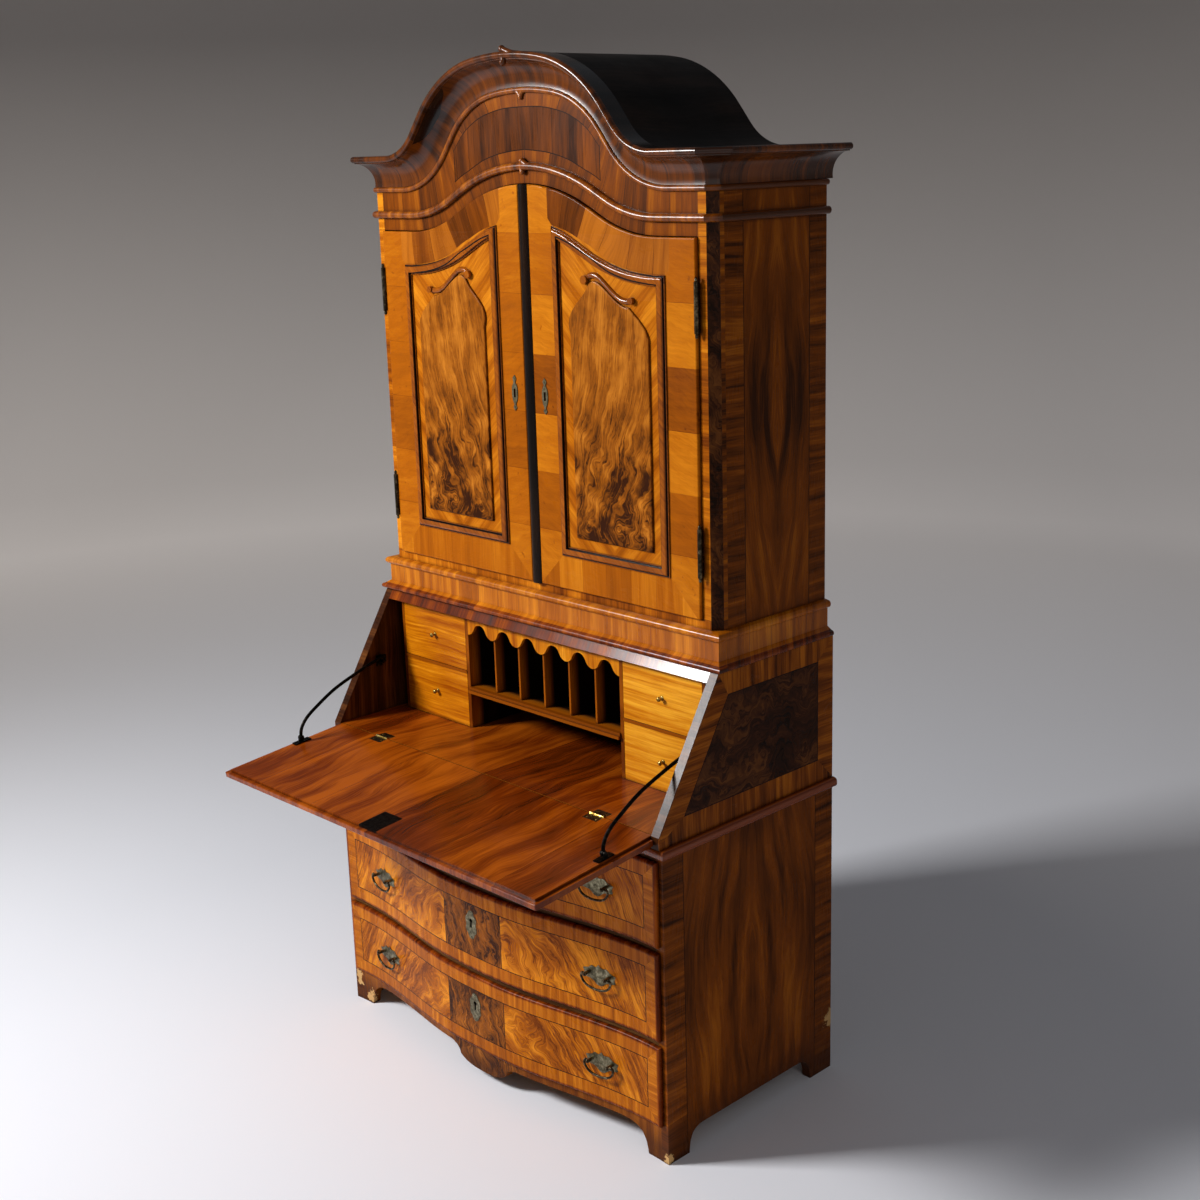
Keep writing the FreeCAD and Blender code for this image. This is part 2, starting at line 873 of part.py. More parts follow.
def bail():
    right = [V(x * post_spread, -post_length, post_rise + z * bail_drop) for x, z in bail_shares]
    left = [V(-p.x, p.y, p.z) for p in right[:-1]]
    wire = swept_rod(right + left[::-1], bail_radius, Y_AXIS)
    for sign in (-1, 1):
        outer = V(sign * right[0].x, -post_length, post_rise)
        pin = rod(bail_radius, outer, outer - V(sign * bail_pin, 0, 0))
        wire = wire.fuse(pin.fuse(Part.makeSphere(bail_collar, outer)))
    return wire.removeSplitter().Solids[0]


def escutcheon(shares, half_width, half_height, hole):
    plate = outline_plate(shares, half_width, half_height, key_plate)
    return plate.cut(hole)


def large_drawer(name, floor, opening):
    forward = lip + slide_gap
    middle = floor + opening / 2
    front = drawer_front(floor, opening)
    fittings = []
    for label, x in (("left", -handle_reach), ("right", handle_reach)):
        point, turn = serpentine_place(x, forward)
        seat_point = point + V(0, handle_plate / 2, middle)
        seat = outline_plate(handle_shares, handle_half_length + seat_gap, handle_half_height + seat_gap, lip)
        front = front.cut(turned(seat, seat_point, turn))
        fittings.append(turned(handle(), seat_point, turn))
        keep(name + "_" + label + "_bail", turned(bail(), seat_point, turn))
    point, turn = serpentine_place(0, forward)
    seat_point = point + V(0, key_plate / 2, middle + key_rise)
    seat = outline_plate(key_shares, key_half_width + seat_gap, key_half_height + seat_gap, lip)
    front = front.cut(turned(seat.fuse(keyhole(lip)), seat_point, 0))
    plate = escutcheon(key_shares, key_half_width, key_half_height, keyhole(key_plate + overrun))
    fittings.append(turned(plate, seat_point, 0))
    keep(name + "_front", front)
    keep(name + "_box", *drawer_box(floor, opening))
    keep(name + "_fittings", *fittings)


def chest():
    keep("chest_sides", *both(chest_side()))
    floors = [(drawer_floor - bottom_board, drawer_floor, apron_thickness)]
    floors.append((middle_floor - dust_board, middle_floor, 0))
    floors.append((top_floor - dust_board, top_floor, 0))
    floors.append((rail_z, chest_top_z, 0))
    keep("dust_boards", *[chest_shelf(*floor) for floor in floors])
    keep("chest_top", moulded_top())
    keep("apron", apron())
    large_drawer("bottom_drawer", drawer_floor, bottom_opening)
    large_drawer("middle_drawer", middle_floor, middle_opening)
    large_drawer("top_drawer", top_floor, top_opening)


def desk_side():
    points = [V(side_inner, edge_y, bed_z), V(side_inner, edge_y, desk_z)]
    points += [V(side_inner, slant_y(desk_top_z), desk_top_z), V(side_inner, chest_depth, desk_top_z)]
    points.append(V(side_inner, chest_depth, bed_z))
    return polygon(points, V(side_board, 0, 0))


def desk_top_board():
    rear = chest_depth - back_board
    points = [V(-side_inner, slant_y(ceiling_z), ceiling_z), V(-side_inner, slant_y(desk_top_z), desk_top_z)]
    points += [V(-side_inner, rear, desk_top_z), V(-side_inner, rear, ceiling_z)]
    return polygon(points, V(2 * side_inner, 0, 0))


def fall_hinge_places():
    return (-fall_hinge_x, fall_hinge_x)


def barrel(x, radius, start_share, end_share):
    left = x - fall_hinge_length / 2
    start = V(left + start_share * fall_hinge_length, hinge_y, desk_z)
    end = V(left + end_share * fall_hinge_length, hinge_y, desk_z)
    return rod(radius, start, end)


def leaf(x, side):
    """Flat leaf of a fall hinge let into the board; side is -1 on the fall and 1 on the writing bed."""
    half = fall_hinge_length / 2
    near = hinge_y + side * (fall_knuckle_radius + curve_gap)
    far = hinge_y + side * fall_leaf_depth
    return box(x - half, x + half, min(near, far), max(near, far), desk_z - fall_leaf, desk_z)


def leaf_seat(x, side):
    """Room in the board for a leaf, its knuckles and the whole barrel."""
    half = fall_hinge_length / 2
    far = hinge_y + side * fall_leaf_depth
    pocket = box(x - half, x + half, min(hinge_y, far), max(hinge_y, far), desk_z - fall_leaf, desk_z)
    reach_share = curve_gap / fall_hinge_length
    return pocket.fuse(barrel(x, fall_knuckle_radius + curve_gap, -reach_share, 1 + reach_share))


def knuckle(x, side, start_share, end_share):
    left = x - fall_hinge_length / 2
    start = left + start_share * fall_hinge_length
    end = left + end_share * fall_hinge_length
    near = hinge_y + side * (fall_knuckle_radius + curve_gap)
    strap = box(start, end, min(near, hinge_y), max(near, hinge_y), desk_z - fall_leaf, desk_z)
    return strap.fuse(barrel(x, fall_knuckle_radius, start_share, end_share))


def bed_leaf(x):
    gap_share = knuckle_gap / fall_hinge_length
    middle = knuckle(x, 1, knuckle_share + gap_share, 1 - knuckle_share - gap_share)
    pin = barrel(x, fall_pin_radius, 0, 1)
    return join([leaf(x, 1), middle, pin])


def fall_leaf_solid(x):
    ends = join([leaf(x, -1), knuckle(x, -1, 0, knuckle_share), knuckle(x, -1, 1 - knuckle_share, 1)])
    return ends.cut(barrel(x, fall_pin_radius + pin_clearance, 0, 1))


def writing_bed():
    board = box(-side_inner, side_inner, hinge_y + seam_gap, chest_depth - back_board, bed_z, desk_z)
    for x in fall_hinge_places():
        board = board.cut(leaf_seat(x, 1))
    return board


def fall_lock():
    front = hinge_y - fall_length
    half, plate = fall_lock_half_width, fall_lock_plate
    top = box(-half, half, front, front + fall_lock_depth, desk_z - plate, desk_z)
    edge = box(-half, half, front, front + plate, desk_z - rebate, desk_z)
    return join([top, edge])


def fall_board():
    rear, front = hinge_y - seam_gap, hinge_y - fall_length
    half = side_inner - fall_side_gap
    low = desk_z - fall_thickness
    board = box(-half, half, front, rear, low, desk_z)
    lip_half = half + fall_lip
    lip_top = desk_z - rebate - curve_gap
    rim = box(-lip_half, lip_half, front - fall_lip, hinge_y - fall_lip_start, low, lip_top)
    rim = rim.makeFillet(fall_edge_round, front_edges(rim))
    board = join([board, rim]).cut(fall_lock())
    for x in fall_hinge_places():
        board = board.cut(leaf_seat(x, -1))
    return board


def stay_foot():
    y = hinge_y - stay_foot_reach
    pin_z = desk_z + stay_pin_height
    half_length = stay_foot_length / 2
    plate_top = desk_z + stay_foot_plate
    left, right = stay_x - stay_foot_half_width, stay_x + stay_foot_half_width
    plate = box(left, right, y - half_length, y + half_length, desk_z, plate_top)
    lug_near = stay_x + stay_eye_width / 2 + curve_gap
    lug_far = lug_near + stay_lug
    lug = box(lug_near, lug_far, y - stay_head_radius, y + stay_head_radius, desk_z, pin_z)
    lug_round = rod(stay_head_radius, V(lug_near, y, pin_z), V(lug_far, y, pin_z))
    head_near = stay_x - stay_eye_width / 2 - curve_gap
    pin = rod(stay_pin_radius, V(head_near, y, pin_z), V(lug_far, y, pin_z))
    head = rod(stay_head_radius, V(head_near - stay_head, y, pin_z), V(head_near, y, pin_z))
    return join([plate, lug, lug_round, pin, head])


def drooped(shape):
    moved = shape.copy()
    moved.rotate(V(0, hinge_y, desk_z), X_AXIS, fall_droop_deg)
    return moved


def stay_pivot():
    point = Part.Vertex(stay_x, hinge_y - stay_foot_reach, desk_z + stay_pin_height)
    return drooped(point).Point


def stay_end(pivot):
    reach_share, rise_share = stay_shares[-1]
    return pivot + V(0, reach_share * stay_reach, rise_share * stay_rise)


def stay():
    pivot = stay_pivot()
    points = [pivot + V(0, a * stay_reach, b * stay_rise) for a, b in stay_shares]
    arm = swept_rod(points, stay_rod_radius, X_AXIS)
    half = V(stay_eye_width / 2, 0, 0)
    eye = rod(stay_eye_radius, pivot - half, pivot + half)
    end = stay_end(pivot)
    hook = rod(stay_rod_radius, end, end - V(0, 0, stay_hook))
    knob = Part.makeSphere(stay_rod_radius, end)
    whole = join([arm, eye, hook, knob])
    return whole.cut(rod(stay_pin_radius + pin_clearance, pivot - half * 2, pivot + half * 2))


def stay_peg():
    end = stay_end(stay_pivot())
    y = end.y - stay_rod_radius - stay_peg_radius - slide_gap
    z = end.z - stay_hook + stay_peg_radius / 2
    peg = rod(stay_peg_radius, V(side_inner - stay_peg_length, y, z), V(side_inner, y, z))
    plate = box(
        side_inner - stay_peg_plate,
        side_inner,
        y - stay_peg_half_width,
        y + stay_peg_half_width,
        z - stay_peg_half_height,
        z + stay_peg_half_height,
    )
    return join([peg, plate])


def nest_partitions():
    low, high = desk_z, ceiling_z
    outer = box(nest_side_x - nest_side, nest_side_x, nest_front, nest_rear, low, high)
    upright = box(nest_upright_x - nest_upright, nest_upright_x, nest_front, nest_rear, low, high)
    rail = box(
        nest_upright_x,
        nest_side_x - nest_side,
        nest_front - nest_rail_proud,
        nest_rear,
        nest_rail_z,
        nest_rail_z + nest_rail,
    )
    keep("nest_partitions", *(both(outer) + both(upright) + both(rail)))


def pigeonholes():
    half = nest_upright_x - nest_upright
    shelf_top = shelf_z + shelf_thickness
    shelf_middle = shelf_z + shelf_thickness / 2
    shelf_front = nest_front - shelf_proud
    lower = box(-half, half, shelf_front, nest_rear, shelf_z, shelf_middle)
    upper = box(-half, half, shelf_front + shelf_step, nest_rear, shelf_middle, shelf_top)
    pitch = 2 * half / bay_count
    divider_front = nest_front + divider_setback
    dividers = []
    for i in range(1, bay_count):
        left = -half + i * pitch - divider / 2
        dividers.append(box(left, left + divider, divider_front, nest_rear, shelf_top, ceiling_z))
    keep("pigeonhole_case", join([lower, upper]), *dividers)
    edges = []
    rise = valance_high - valance_low
    for i in range(bay_count):
        left = -half + i * pitch
        up = [V(left + s * pitch, nest_front, valance_low + h * rise) for s, h in valance_shares]
        down = [V(2 * left + pitch - p.x, nest_front, p.z) for p in reversed(up)]
        edges.append(curve(up + down[1:]))
    corners = [V(half, nest_front, valance_low), V(half, nest_front, ceiling_z)]
    corners += [V(-half, nest_front, ceiling_z), V(-half, nest_front, valance_low)]
    edges += [line(corners[i], corners[i + 1]) for i in range(3)]
    keep("pigeonhole_valance", prism(edges, V(0, valance_thickness, 0)))


def small_drawer(name, sign, low, high):
    left = nest_upright_x + small_gap
    right = nest_side_x - nest_side - small_gap
    front_back = nest_front + small_front
    rear = nest_front + small_depth
    wall_top = high - small_wall_drop
    front = box(left, right, nest_front, front_back, low, high)
    walls = [box(left, left + small_wall, front_back, rear, low, wall_top)]
    walls.append(box(right - small_wall, right, front_back, rear, low, wall_top))
    inside_left, inside_right = left + small_wall, right - small_wall
    walls.append(box(inside_left, inside_right, front_back, rear, low, low + small_bottom))
    walls.append(box(inside_left, inside_right, rear - small_wall, rear, low + small_bottom, wall_top))
    solids = [front] + walls
    x, z = (left + right) / 2, (low + high) / 2
    stem = rod(knob_stem_radius, V(x, nest_front, z), V(x, nest_front - knob_length + knob_radius, z))
    ball = Part.makeSphere(knob_radius, V(x, nest_front - knob_length + knob_radius, z))
    knob = join([stem, ball])
    if sign < 0:
        solids = [mirrored(s) for s in solids]
        knob = mirrored(knob)
    keep(name, *solids)
    keep(name + "_knob", knob)


def desk():
    keep("desk_sides", *both(desk_side()))
    keep("writing_bed", writing_bed())
    keep("desk_top", desk_top_board())
    keep("desk_hinge_leaves", *[bed_leaf(x) for x in fall_hinge_places()])
    nest_partitions()
    pigeonholes()
    rail_top = nest_rail_z + nest_rail
    for side, sign in (("left", -1), ("right", 1)):
        small_drawer("lower_" + side + "_small_drawer", sign, desk_z + slide_gap, nest_rail_z - small_gap)
        small_drawer("upper_" + side + "_small_drawer", sign, rail_top + slide_gap, ceiling_z - small_gap)
    keep("fall_flap", drooped(fall_board()))
    keep("fall_hinge_leaves", *[drooped(fall_leaf_solid(x)) for x in fall_hinge_places()])
    keep("fall_ironwork", drooped(fall_lock()), *both(drooped(stay_foot())))
    keep("right_stay", stay())
    keep("left_stay", mirrored(stay()))
    keep("stay_pegs", *both(stay_peg()))


def waist():
    nose_end = waist_nose_height
    profile = [
        (-waist_depth, 0),
        (waist_nose, 0),
        ((waist_nose + waist_nose_bulge, nose_end / 2), (waist_nose, nose_end)),
        (waist_band, waist_hollow_height),
        (waist_band, waist_height),
        (-waist_depth, waist_height),
    ]
    corners = [V(cabinet_half_width, cabinet_front, 0), V(cabinet_half_width, cabinet_rear, 0)]
    keep("waist", *mitred_run(profile, corners, waist_z, waist_z, plinth_z))


def plinth():
    torus_top = plinth_band_height + torus_height
    profile = [
        (-waist_depth, 0),
        (waist_band, 0),
        (waist_band, plinth_band_height),
        (torus_step, plinth_band_height),
        ((torus_step + torus_bulge, (plinth_band_height + torus_top) / 2), (torus_step, torus_top)),
        (0, plinth_height),
        (-waist_depth, plinth_height),
    ]
    corners = [V(cabinet_half_width, cabinet_front, 0), V(cabinet_half_width, cabinet_rear, 0)]
    keep("cabinet_plinth", *mitred_run(profile, corners, plinth_z, plinth_z, cabinet_z))


def cabinet_corners():
    corners = [V(cabinet_half_width - cant, cabinet_front, 0), V(cabinet_half_width, cabinet_front + cant, 0)]
    return corners + [V(cabinet_half_width, cabinet_rear, 0)]


def hinge_notches(low_clear):
    """Room for the barrels and the leaves of the right door's hinges."""
    notches = []
    for z in hinge_levels:
        start = V(hinge_x, hinge_axis_y, z - hinge_length / 2 - low_clear)
        end = V(hinge_x, hinge_axis_y, z + hinge_length / 2 + low_clear)
        notches.append(rod(hinge_radius + curve_gap, start, end))
    return notches


def hinge_half(z, upper):
    """Half of a lift-off hinge: the upper half rides on the door, the lower half carries the pin."""
    middle = V(hinge_x, hinge_axis_y, z)
    half = V(0, 0, hinge_length / 2)
    gap = V(0, 0, knuckle_gap)
    if upper:
        tube = rod(hinge_radius, middle + gap, middle + half)
        left, right = door_edge - hinge_plate, door_edge
        plate = box(left, right, hinge_axis_y, hinge_axis_y + hinge_plate_depth, z + knuckle_gap, z + half.z)
        bore = rod(hinge_pin_radius + pin_clearance, middle, middle + half * hinge_bore_share)
        tip = rod(hinge_finial, middle + half, middle + half + V(0, 0, hinge_finial))
        return join([tube, plate, tip]).cut(bore)
    tube = rod(hinge_radius, middle - half, middle)
    plate_rear = hinge_axis_y + hinge_plate_depth
    plate = box(post_edge, post_edge + hinge_plate, hinge_axis_y, plate_rear, z - half.z, z)
    pin = rod(hinge_pin_radius, middle, middle + half * hinge_pin_share)
    tip = rod(hinge_finial, middle - half - V(0, 0, hinge_finial), middle - half)
    return join([tube, plate, pin, tip])


def corner_post():
    top = cornice_flat + roof_low
    front, rear = cabinet_front, cabinet_front + post_depth
    points = [V(post_edge, front, cabinet_z), V(cabinet_half_width - cant, front, cabinet_z)]
    points += [V(cabinet_half_width, front + cant, cabinet_z), V(cabinet_half_width, rear, cabinet_z)]
    points.append(V(post_edge, rear, cabinet_z))
    post = polygon(points, V(0, 0, top - cabinet_z))
    for z in hinge_levels:
        post = post.cut(hinge_half(z, False))
    return post


def cabinet_case():
    top = cornice_flat + roof_low
    inner = cabinet_half_width - cabinet_side
    front = cabinet_front + post_depth
    rear = cabinet_rear - back_board
    keep("cabinet_sides", *both(box(inner, cabinet_half_width, front, cabinet_rear, cabinet_z, top)))
    frame_back = cabinet_front + frame_board
    rail_top = cabinet_z + bottom_rail
    rail = box(-post_edge, post_edge, cabinet_front, frame_back, cabinet_z, rail_top)
    keep("face_frame", *(both(corner_post()) + [rail]))
    floor = box(-inner, inner, front, rear, cabinet_z, rail_top)
    floor = floor.fuse(box(-post_edge, post_edge, frame_back, front, cabinet_z, rail_top)).removeSplitter()
    boards = [floor]
    for level in shelf_levels:
        boards.append(box(-inner, inner, front + shelf_setback, rear, level, level + shelf_board))
    crown = arch_runs(door_arch, door_gap)[0][0].z + crown_board_gap
    boards.append(box(-inner, inner, front, rear, crown, crown + crown_board))
    keep("cabinet_boards", *boards)
    frieze = arch_block(cornice_arch, roof_low, post_edge, door_top_flat, cabinet_front, frame_back)
    cut_front, cut_back = cabinet_front - overrun, frame_back + overrun
    opening = arch_block(door_arch, door_gap, post_edge + overrun, 0, cut_front, cut_back)
    keep("frieze", frieze.cut(opening))


def backs():
    front = chest_depth - back_board
    chest_back = box(-side_inner, side_inner, front, chest_depth, drawer_floor - bottom_board, chest_top_z)
    desk_back = box(-side_inner, side_inner, front, chest_depth, bed_z, desk_top_z)
    inner = cabinet_half_width - cabinet_side
    rear = cabinet_rear - back_board
    cabinet_back = arch_block(cornice_arch, roof_low, inner, waist_z, rear, cabinet_rear)
    keep("back_boards", chest_back, desk_back, cabinet_back)


def cornice():
    cove_in = cornice_cove_foot + cornice_cove_in_share * (cornice_cove_out - cornice_cove_foot)
    cove_up = cornice_cove_start + cornice_cove_up_share * (cornice_cove_top - cornice_cove_start)
    nose_middle = (cornice_nose_low + cornice_height) / 2
    profile = [
        (0, cornice_cove_start),
        (cornice_cove_foot, cornice_cove_start),
        ((cove_in, cove_up), (cornice_cove_out, cornice_cove_top)),
        (cornice_nose, cornice_cove_top),
        (cornice_nose, cornice_nose_low),
        ((cornice_nose + cornice_nose_bulge, nose_middle), (cornice_nose, cornice_height)),
        (0, cornice_height),
    ]
    reach = cabinet_half_width + cornice_nose + cornice_nose_bulge
    front = arched_moulding(cornice_arch, 0, profile, cabinet_front, reach)
    corners = cabinet_corners()
    corners[-1] = V(cabinet_half_width, cornice_rear, 0)
    high = 2 * cornice_flat
    pieces = mitred_run(profile, corners, cornice_flat, 0, high, front)
    middle = V(0, cabinet_front - cornice_nose, arch_runs(cornice_arch, nose_middle)[0][0].z)
    lists = (crest_right_shares, crest_left_shares)
    scrolls = scroll_ends(middle, crest_reach, crest_rise, crest_radius, crest_ball, lists)
    keep("cornice", join([pieces[0]] + scrolls), *pieces[1:])
    half, roof_high = cabinet_half_width, cornice_height - roof_drop
    low_block = arch_block(cornice_arch, roof_low, half, 0, cabinet_front, cornice_rear)
    high_block = arch_block(cornice_arch, roof_high, half, cornice_flat, cabinet_front, cornice_rear)
    shell = high_block.cut(low_block)
    for corner in both(plan_wedge([corners[0], V(half, cabinet_front, 0), corners[1]], 0, high)):
        shell = shell.cut(corner)
    keep("roof", shell)


def frieze_bead():
    """Bead under the cornice, with a dip in the middle where its two halves meet."""
    step, radius = bead_step, bead_radius
    proud = step + radius
    bead = [(0, -radius), (step, -radius), ((proud, 0), (step, radius)), (0, radius)]
    front = arched_moulding(cornice_arch, 0, bead, cabinet_front, cabinet_half_width + proud)
    pieces = mitred_run(bead, cabinet_corners(), cornice_flat, 0, 2 * cornice_flat, front)
    middle = V(0, cabinet_front - dip_out, arch_runs(cornice_arch, 0)[0][0].z)
    lists = (dip_right_shares, dip_left_shares)
    dip = scroll_ends(middle, dip_reach, dip_drop, dip_radius, dip_ball, lists)
    return [join(pieces[:1] + before_frieze(dip, middle))] + pieces[1:]


def frieze_strip():
    """Moulding round the heads of the doors, broken in the middle into two scrolled ends."""
    half, step = frieze_moulding_half_height, frieze_moulding_step
    strip = [(0, -half), (step, -half), ((step + frieze_moulding_bulge, 0), (step, half)), (0, half)]
    rise = frieze_moulding_rise
    reach = cabinet_half_width + step + frieze_moulding_bulge
    front = arched_moulding(door_arch, rise, strip, cabinet_front, reach)
    pieces = mitred_run(strip, cabinet_corners(), door_top_flat + rise, 0, 2 * cornice_flat, front)
    middle = V(0, cabinet_front - break_out, arch_runs(door_arch, rise)[0][0].z)
    lists = (break_right_shares, break_left_shares)
    ends = scroll_ends(middle, break_reach, break_rise, break_radius, break_ball, lists)
    return [join(pieces[:1] + before_frieze(ends, middle))] + pieces[1:]


def door_outline(inner, outer, low, off, y, depth):
    """Leaf between two edges, under the arch moved by off."""
    block = arch_block(door_arch, off, post_edge, low, y, y + depth)
    top = arch_runs(door_arch, off)[0][0].z + overrun
    return block.common(box(inner, outer, y, y + depth, low, top)).Solids[0]


def panel_ring(inset, width, height, rounding):
    inner, outer = panel_inner + inset, panel_outer - inset
    low, off = panel_low + inset, -panel_drop - inset
    y = door_front - height
    ring = door_outline(inner, outer, low, off, y, height)
    if rounding:
        ring = ring.makeFillet(rounding, front_edges(ring))
    hole_y, hole_depth = y - overrun, height + 2 * overrun
    return ring.cut(door_outline(inner + width, outer - width, low + width, off - width, hole_y, hole_depth))


def field_points(shares, lift):
    width, rise = field_outer - field_inner, field_top - field_shoulder
    y = door_front - lift
    return [V(field_inner + s * width, y, field_shoulder + h * rise) for s, h in shares]


def raised_field():
    inner = field_points(field_inner_shares, field_proud)
    crown = field_points(field_crown_shares, field_proud)
    outer = field_points(field_outer_shares, field_proud)
    low_inner = V(field_inner, inner[0].y, field_low)
    low_outer = V(field_outer, inner[0].y, field_low)
    edges = [curve(inner), curve(crown), curve(outer)]
    edges += [line(outer[-1], low_outer), line(low_outer, low_inner), line(low_inner, inner[0])]
    field = prism(edges, V(0, field_proud, 0))
    return field.makeFillet(field_round, front_edges(field))


def scroll_moulding():
    points = field_points(scroll_shares, 0)
    strip = swept_rod(points, scroll_radius, Y_AXIS)
    volute_lift = V(0, scroll_volute, 0)
    volute = rod(scroll_volute, points[0], points[0] - volute_lift)
    block = rod(scroll_block, points[-1], points[-1] - volute_lift)
    whole = join([strip, volute, block])
    x0, x1, z = panel_inner, panel_outer, points[0].z
    front = box(x0, x1, door_front - 2 * scroll_volute, door_front, field_low, z + panel_drop)
    return whole.common(front).cut(raised_field()).Solids[0]


def door_leaf(inner):
    leaf_solid = door_outline(inner, door_edge, door_low, 0, door_front, door_thickness)
    leaf_solid = leaf_solid.makeFillet(door_round, front_edges(leaf_solid))
    for notch in hinge_notches(hinge_finial + slide_gap):
        leaf_solid = leaf_solid.cut(notch)
    for z in hinge_levels:
        leaf_solid = leaf_solid.cut(hinge_half(z, True))
    seat_point = V(door_key_reach, door_front, door_key_z)
    hole = door_slot(door_thickness / 2)
    hole.translate(seat_point)
    return leaf_solid.cut(hole)


def door_fittings():
    hole = door_slot(key_plate + overrun)
    plate = escutcheon(door_key_shares, door_key_half_width, door_key_half_height, hole)
    plate.translate(V(door_key_reach, door_front, door_key_z))
    return [plate] + [hinge_half(z, True) for z in hinge_levels]


def astragal():
    half, top = astragal_half_width, arch_height(door_arch, 0, astragal_half_width)
    rear = door_front + door_thickness
    left_rear, left_front = V(-half, rear, door_low), V(-half, door_front, door_low)
    right_front, right_rear = V(half, door_front, door_low), V(half, rear, door_low)
    nose = V(0, door_front - astragal_proud, door_low)
    edges = [line(left_rear, left_front), arc(left_front, nose, right_front)]
    edges += [line(right_front, right_rear), line(right_rear, left_rear)]
    return prism(edges, V(0, 0, top - door_low))


def doors():
    mouldings = [join([panel_ring(0, panel_width, panel_step_height, 0), bead_ring()]), scroll_moulding()]
    keep("right_door", door_leaf(astragal_half_width))
    keep("left_door", mirrored(door_leaf(astragal_half_width + astragal_gap)))
    for side, change in (("right", lambda s: s), ("left", mirrored)):
        keep(side + "_door_mouldings", *[change(s) for s in mouldings])
        keep(side + "_door_field", change(raised_field()))
        keep(side + "_door_fittings", *[change(s) for s in door_fittings()])
    keep("astragal", astragal())
    frame_halves = [hinge_half(z, False) for z in hinge_levels]
    keep("frame_hinge_halves", *[s for half in frame_halves for s in both(half)])


def bead_ring():
    """Rounded bead in the middle of the panel moulding."""
    return panel_ring(panel_step, panel_width - 2 * panel_step, panel_height, panel_round)


def export():
    """Moves the whole so that the origin lies below the middle of its box, and writes each piece."""
    whole = Part.makeCompound([s for name, solids in nodes for s in solids]).BoundBox
    shift = V(0, -(whole.YMin + whole.YMax) / 2, -whole.ZMin)
    for name, solids in nodes:
        moved = [solid.translated(shift) for solid in solids]
        shape = moved[0] if len(moved) == 1 else Part.makeCompound(moved)
        shape.exportStep("parts/" + name + ".step")


chest()
desk()
waist()
plinth()
cabinet_case()
backs()
cornice()
keep("frieze_mouldings", *(frieze_strip() + frieze_bead()))
doors()
export()
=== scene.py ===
import json
import math
from collections import namedtuple

import bmesh
import bpy
from mathutils import Matrix, Vector


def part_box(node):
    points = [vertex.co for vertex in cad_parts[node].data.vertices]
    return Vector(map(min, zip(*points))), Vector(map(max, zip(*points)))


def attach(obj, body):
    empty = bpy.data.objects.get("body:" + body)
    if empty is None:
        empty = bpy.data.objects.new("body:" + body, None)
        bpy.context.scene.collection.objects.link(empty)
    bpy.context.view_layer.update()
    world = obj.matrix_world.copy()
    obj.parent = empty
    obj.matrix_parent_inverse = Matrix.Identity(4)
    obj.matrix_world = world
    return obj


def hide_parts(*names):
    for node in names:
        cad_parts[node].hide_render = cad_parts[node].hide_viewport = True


bl_info = {
    "name": "Escritoire finish",
    "version": (1, 1, 0),
    "blender": (4, 5, 0),
    "location": "View3D > Sidebar > Escritoire",
    "description": "Veneers, metalwork and studio for a walnut bureau cabinet",
    "category": "Object",
}

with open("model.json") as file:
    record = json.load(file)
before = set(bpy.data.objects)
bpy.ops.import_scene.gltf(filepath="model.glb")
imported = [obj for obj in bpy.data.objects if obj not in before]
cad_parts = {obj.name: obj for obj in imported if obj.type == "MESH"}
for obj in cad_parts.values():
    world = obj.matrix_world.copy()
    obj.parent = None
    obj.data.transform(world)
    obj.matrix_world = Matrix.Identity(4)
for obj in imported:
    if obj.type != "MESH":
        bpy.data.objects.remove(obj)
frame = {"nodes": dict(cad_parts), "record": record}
NODES = frame["nodes"]
JOINTS = {joint["name"]: joint for joint in frame["record"]["behaviour"]["joints"]}
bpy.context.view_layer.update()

LARGE_DRAWERS = ("bottom", "middle", "top")
SIDES = ("left", "right")
SIGNS = (-1, 1)
SMALL_DRAWERS = tuple(f"{level}_{side}_small_drawer" for level in ("lower", "upper") for side in SIDES)

# The sizes and places below are in metres, in the part's own frame, unless a comment says otherwise.

# The two arches of the cabinet: the level of their feet, their rise and half span, and their line from the
# middle outwards in shares of these
Arch = namedtuple("Arch", "flat rise reach shares")
DOOR_ARCH = Arch(1.918, 0.1033, 0.385, ((0.0, 1.0), (0.25, 0.89), (0.5, 0.55), (0.75, 0.135), (1.0, 0.0)))
CORNICE_SHARES = (
    (0.0, 1.0), (0.23, 0.963), (0.41, 0.83), (0.55, 0.574), (0.625, 0.374), (0.79, 0.1), (1.0, 0.0),
)
CORNICE_ARCH = Arch(2.011, 0.2017, 0.4177, CORNICE_SHARES)

# The cornice's height over its arch, the polished rim round its dark top, and how deep that dark goes
CORNICE_HEIGHT = 0.076
CORNICE_RIM = 0.011
CORNICE_SKIN = 0.0015

# A large drawer: the fade of its lip's colour from the edge, its escutcheon's middle over its own, half the
# escutcheon's height, half the height of the painted shade behind its keyhole, and where the figure has
# calmed down
DRAWER_LIP = (0.005, 0.009)
KEY_RISE = 0.013
KEY_HALF_HEIGHT = 0.035
KEYHOLE_SHADE_REACH = 0.016
FLAME_REACH = 0.34

# The chest: its chips with their sizes, the height up to which its feet are darker, and the fade of the
# apron's burl
CHEST_CHIPS = (
    ((-0.538, -0.111, 0.066), 0.011),
    ((-0.536, -0.111, 0.045), 0.009),
    ((-0.492, -0.111, 0.018), 0.016),
    ((0.55, -0.111, 0.008), 0.012),
    ((0.55, 0.439, 0.125), 0.022),
    ((0.035, -0.205, 0.028), 0.012),
)
DARKER_FOOT_HEIGHT = 0.11
APRON_BURL_REACH = (0.1, 0.16)
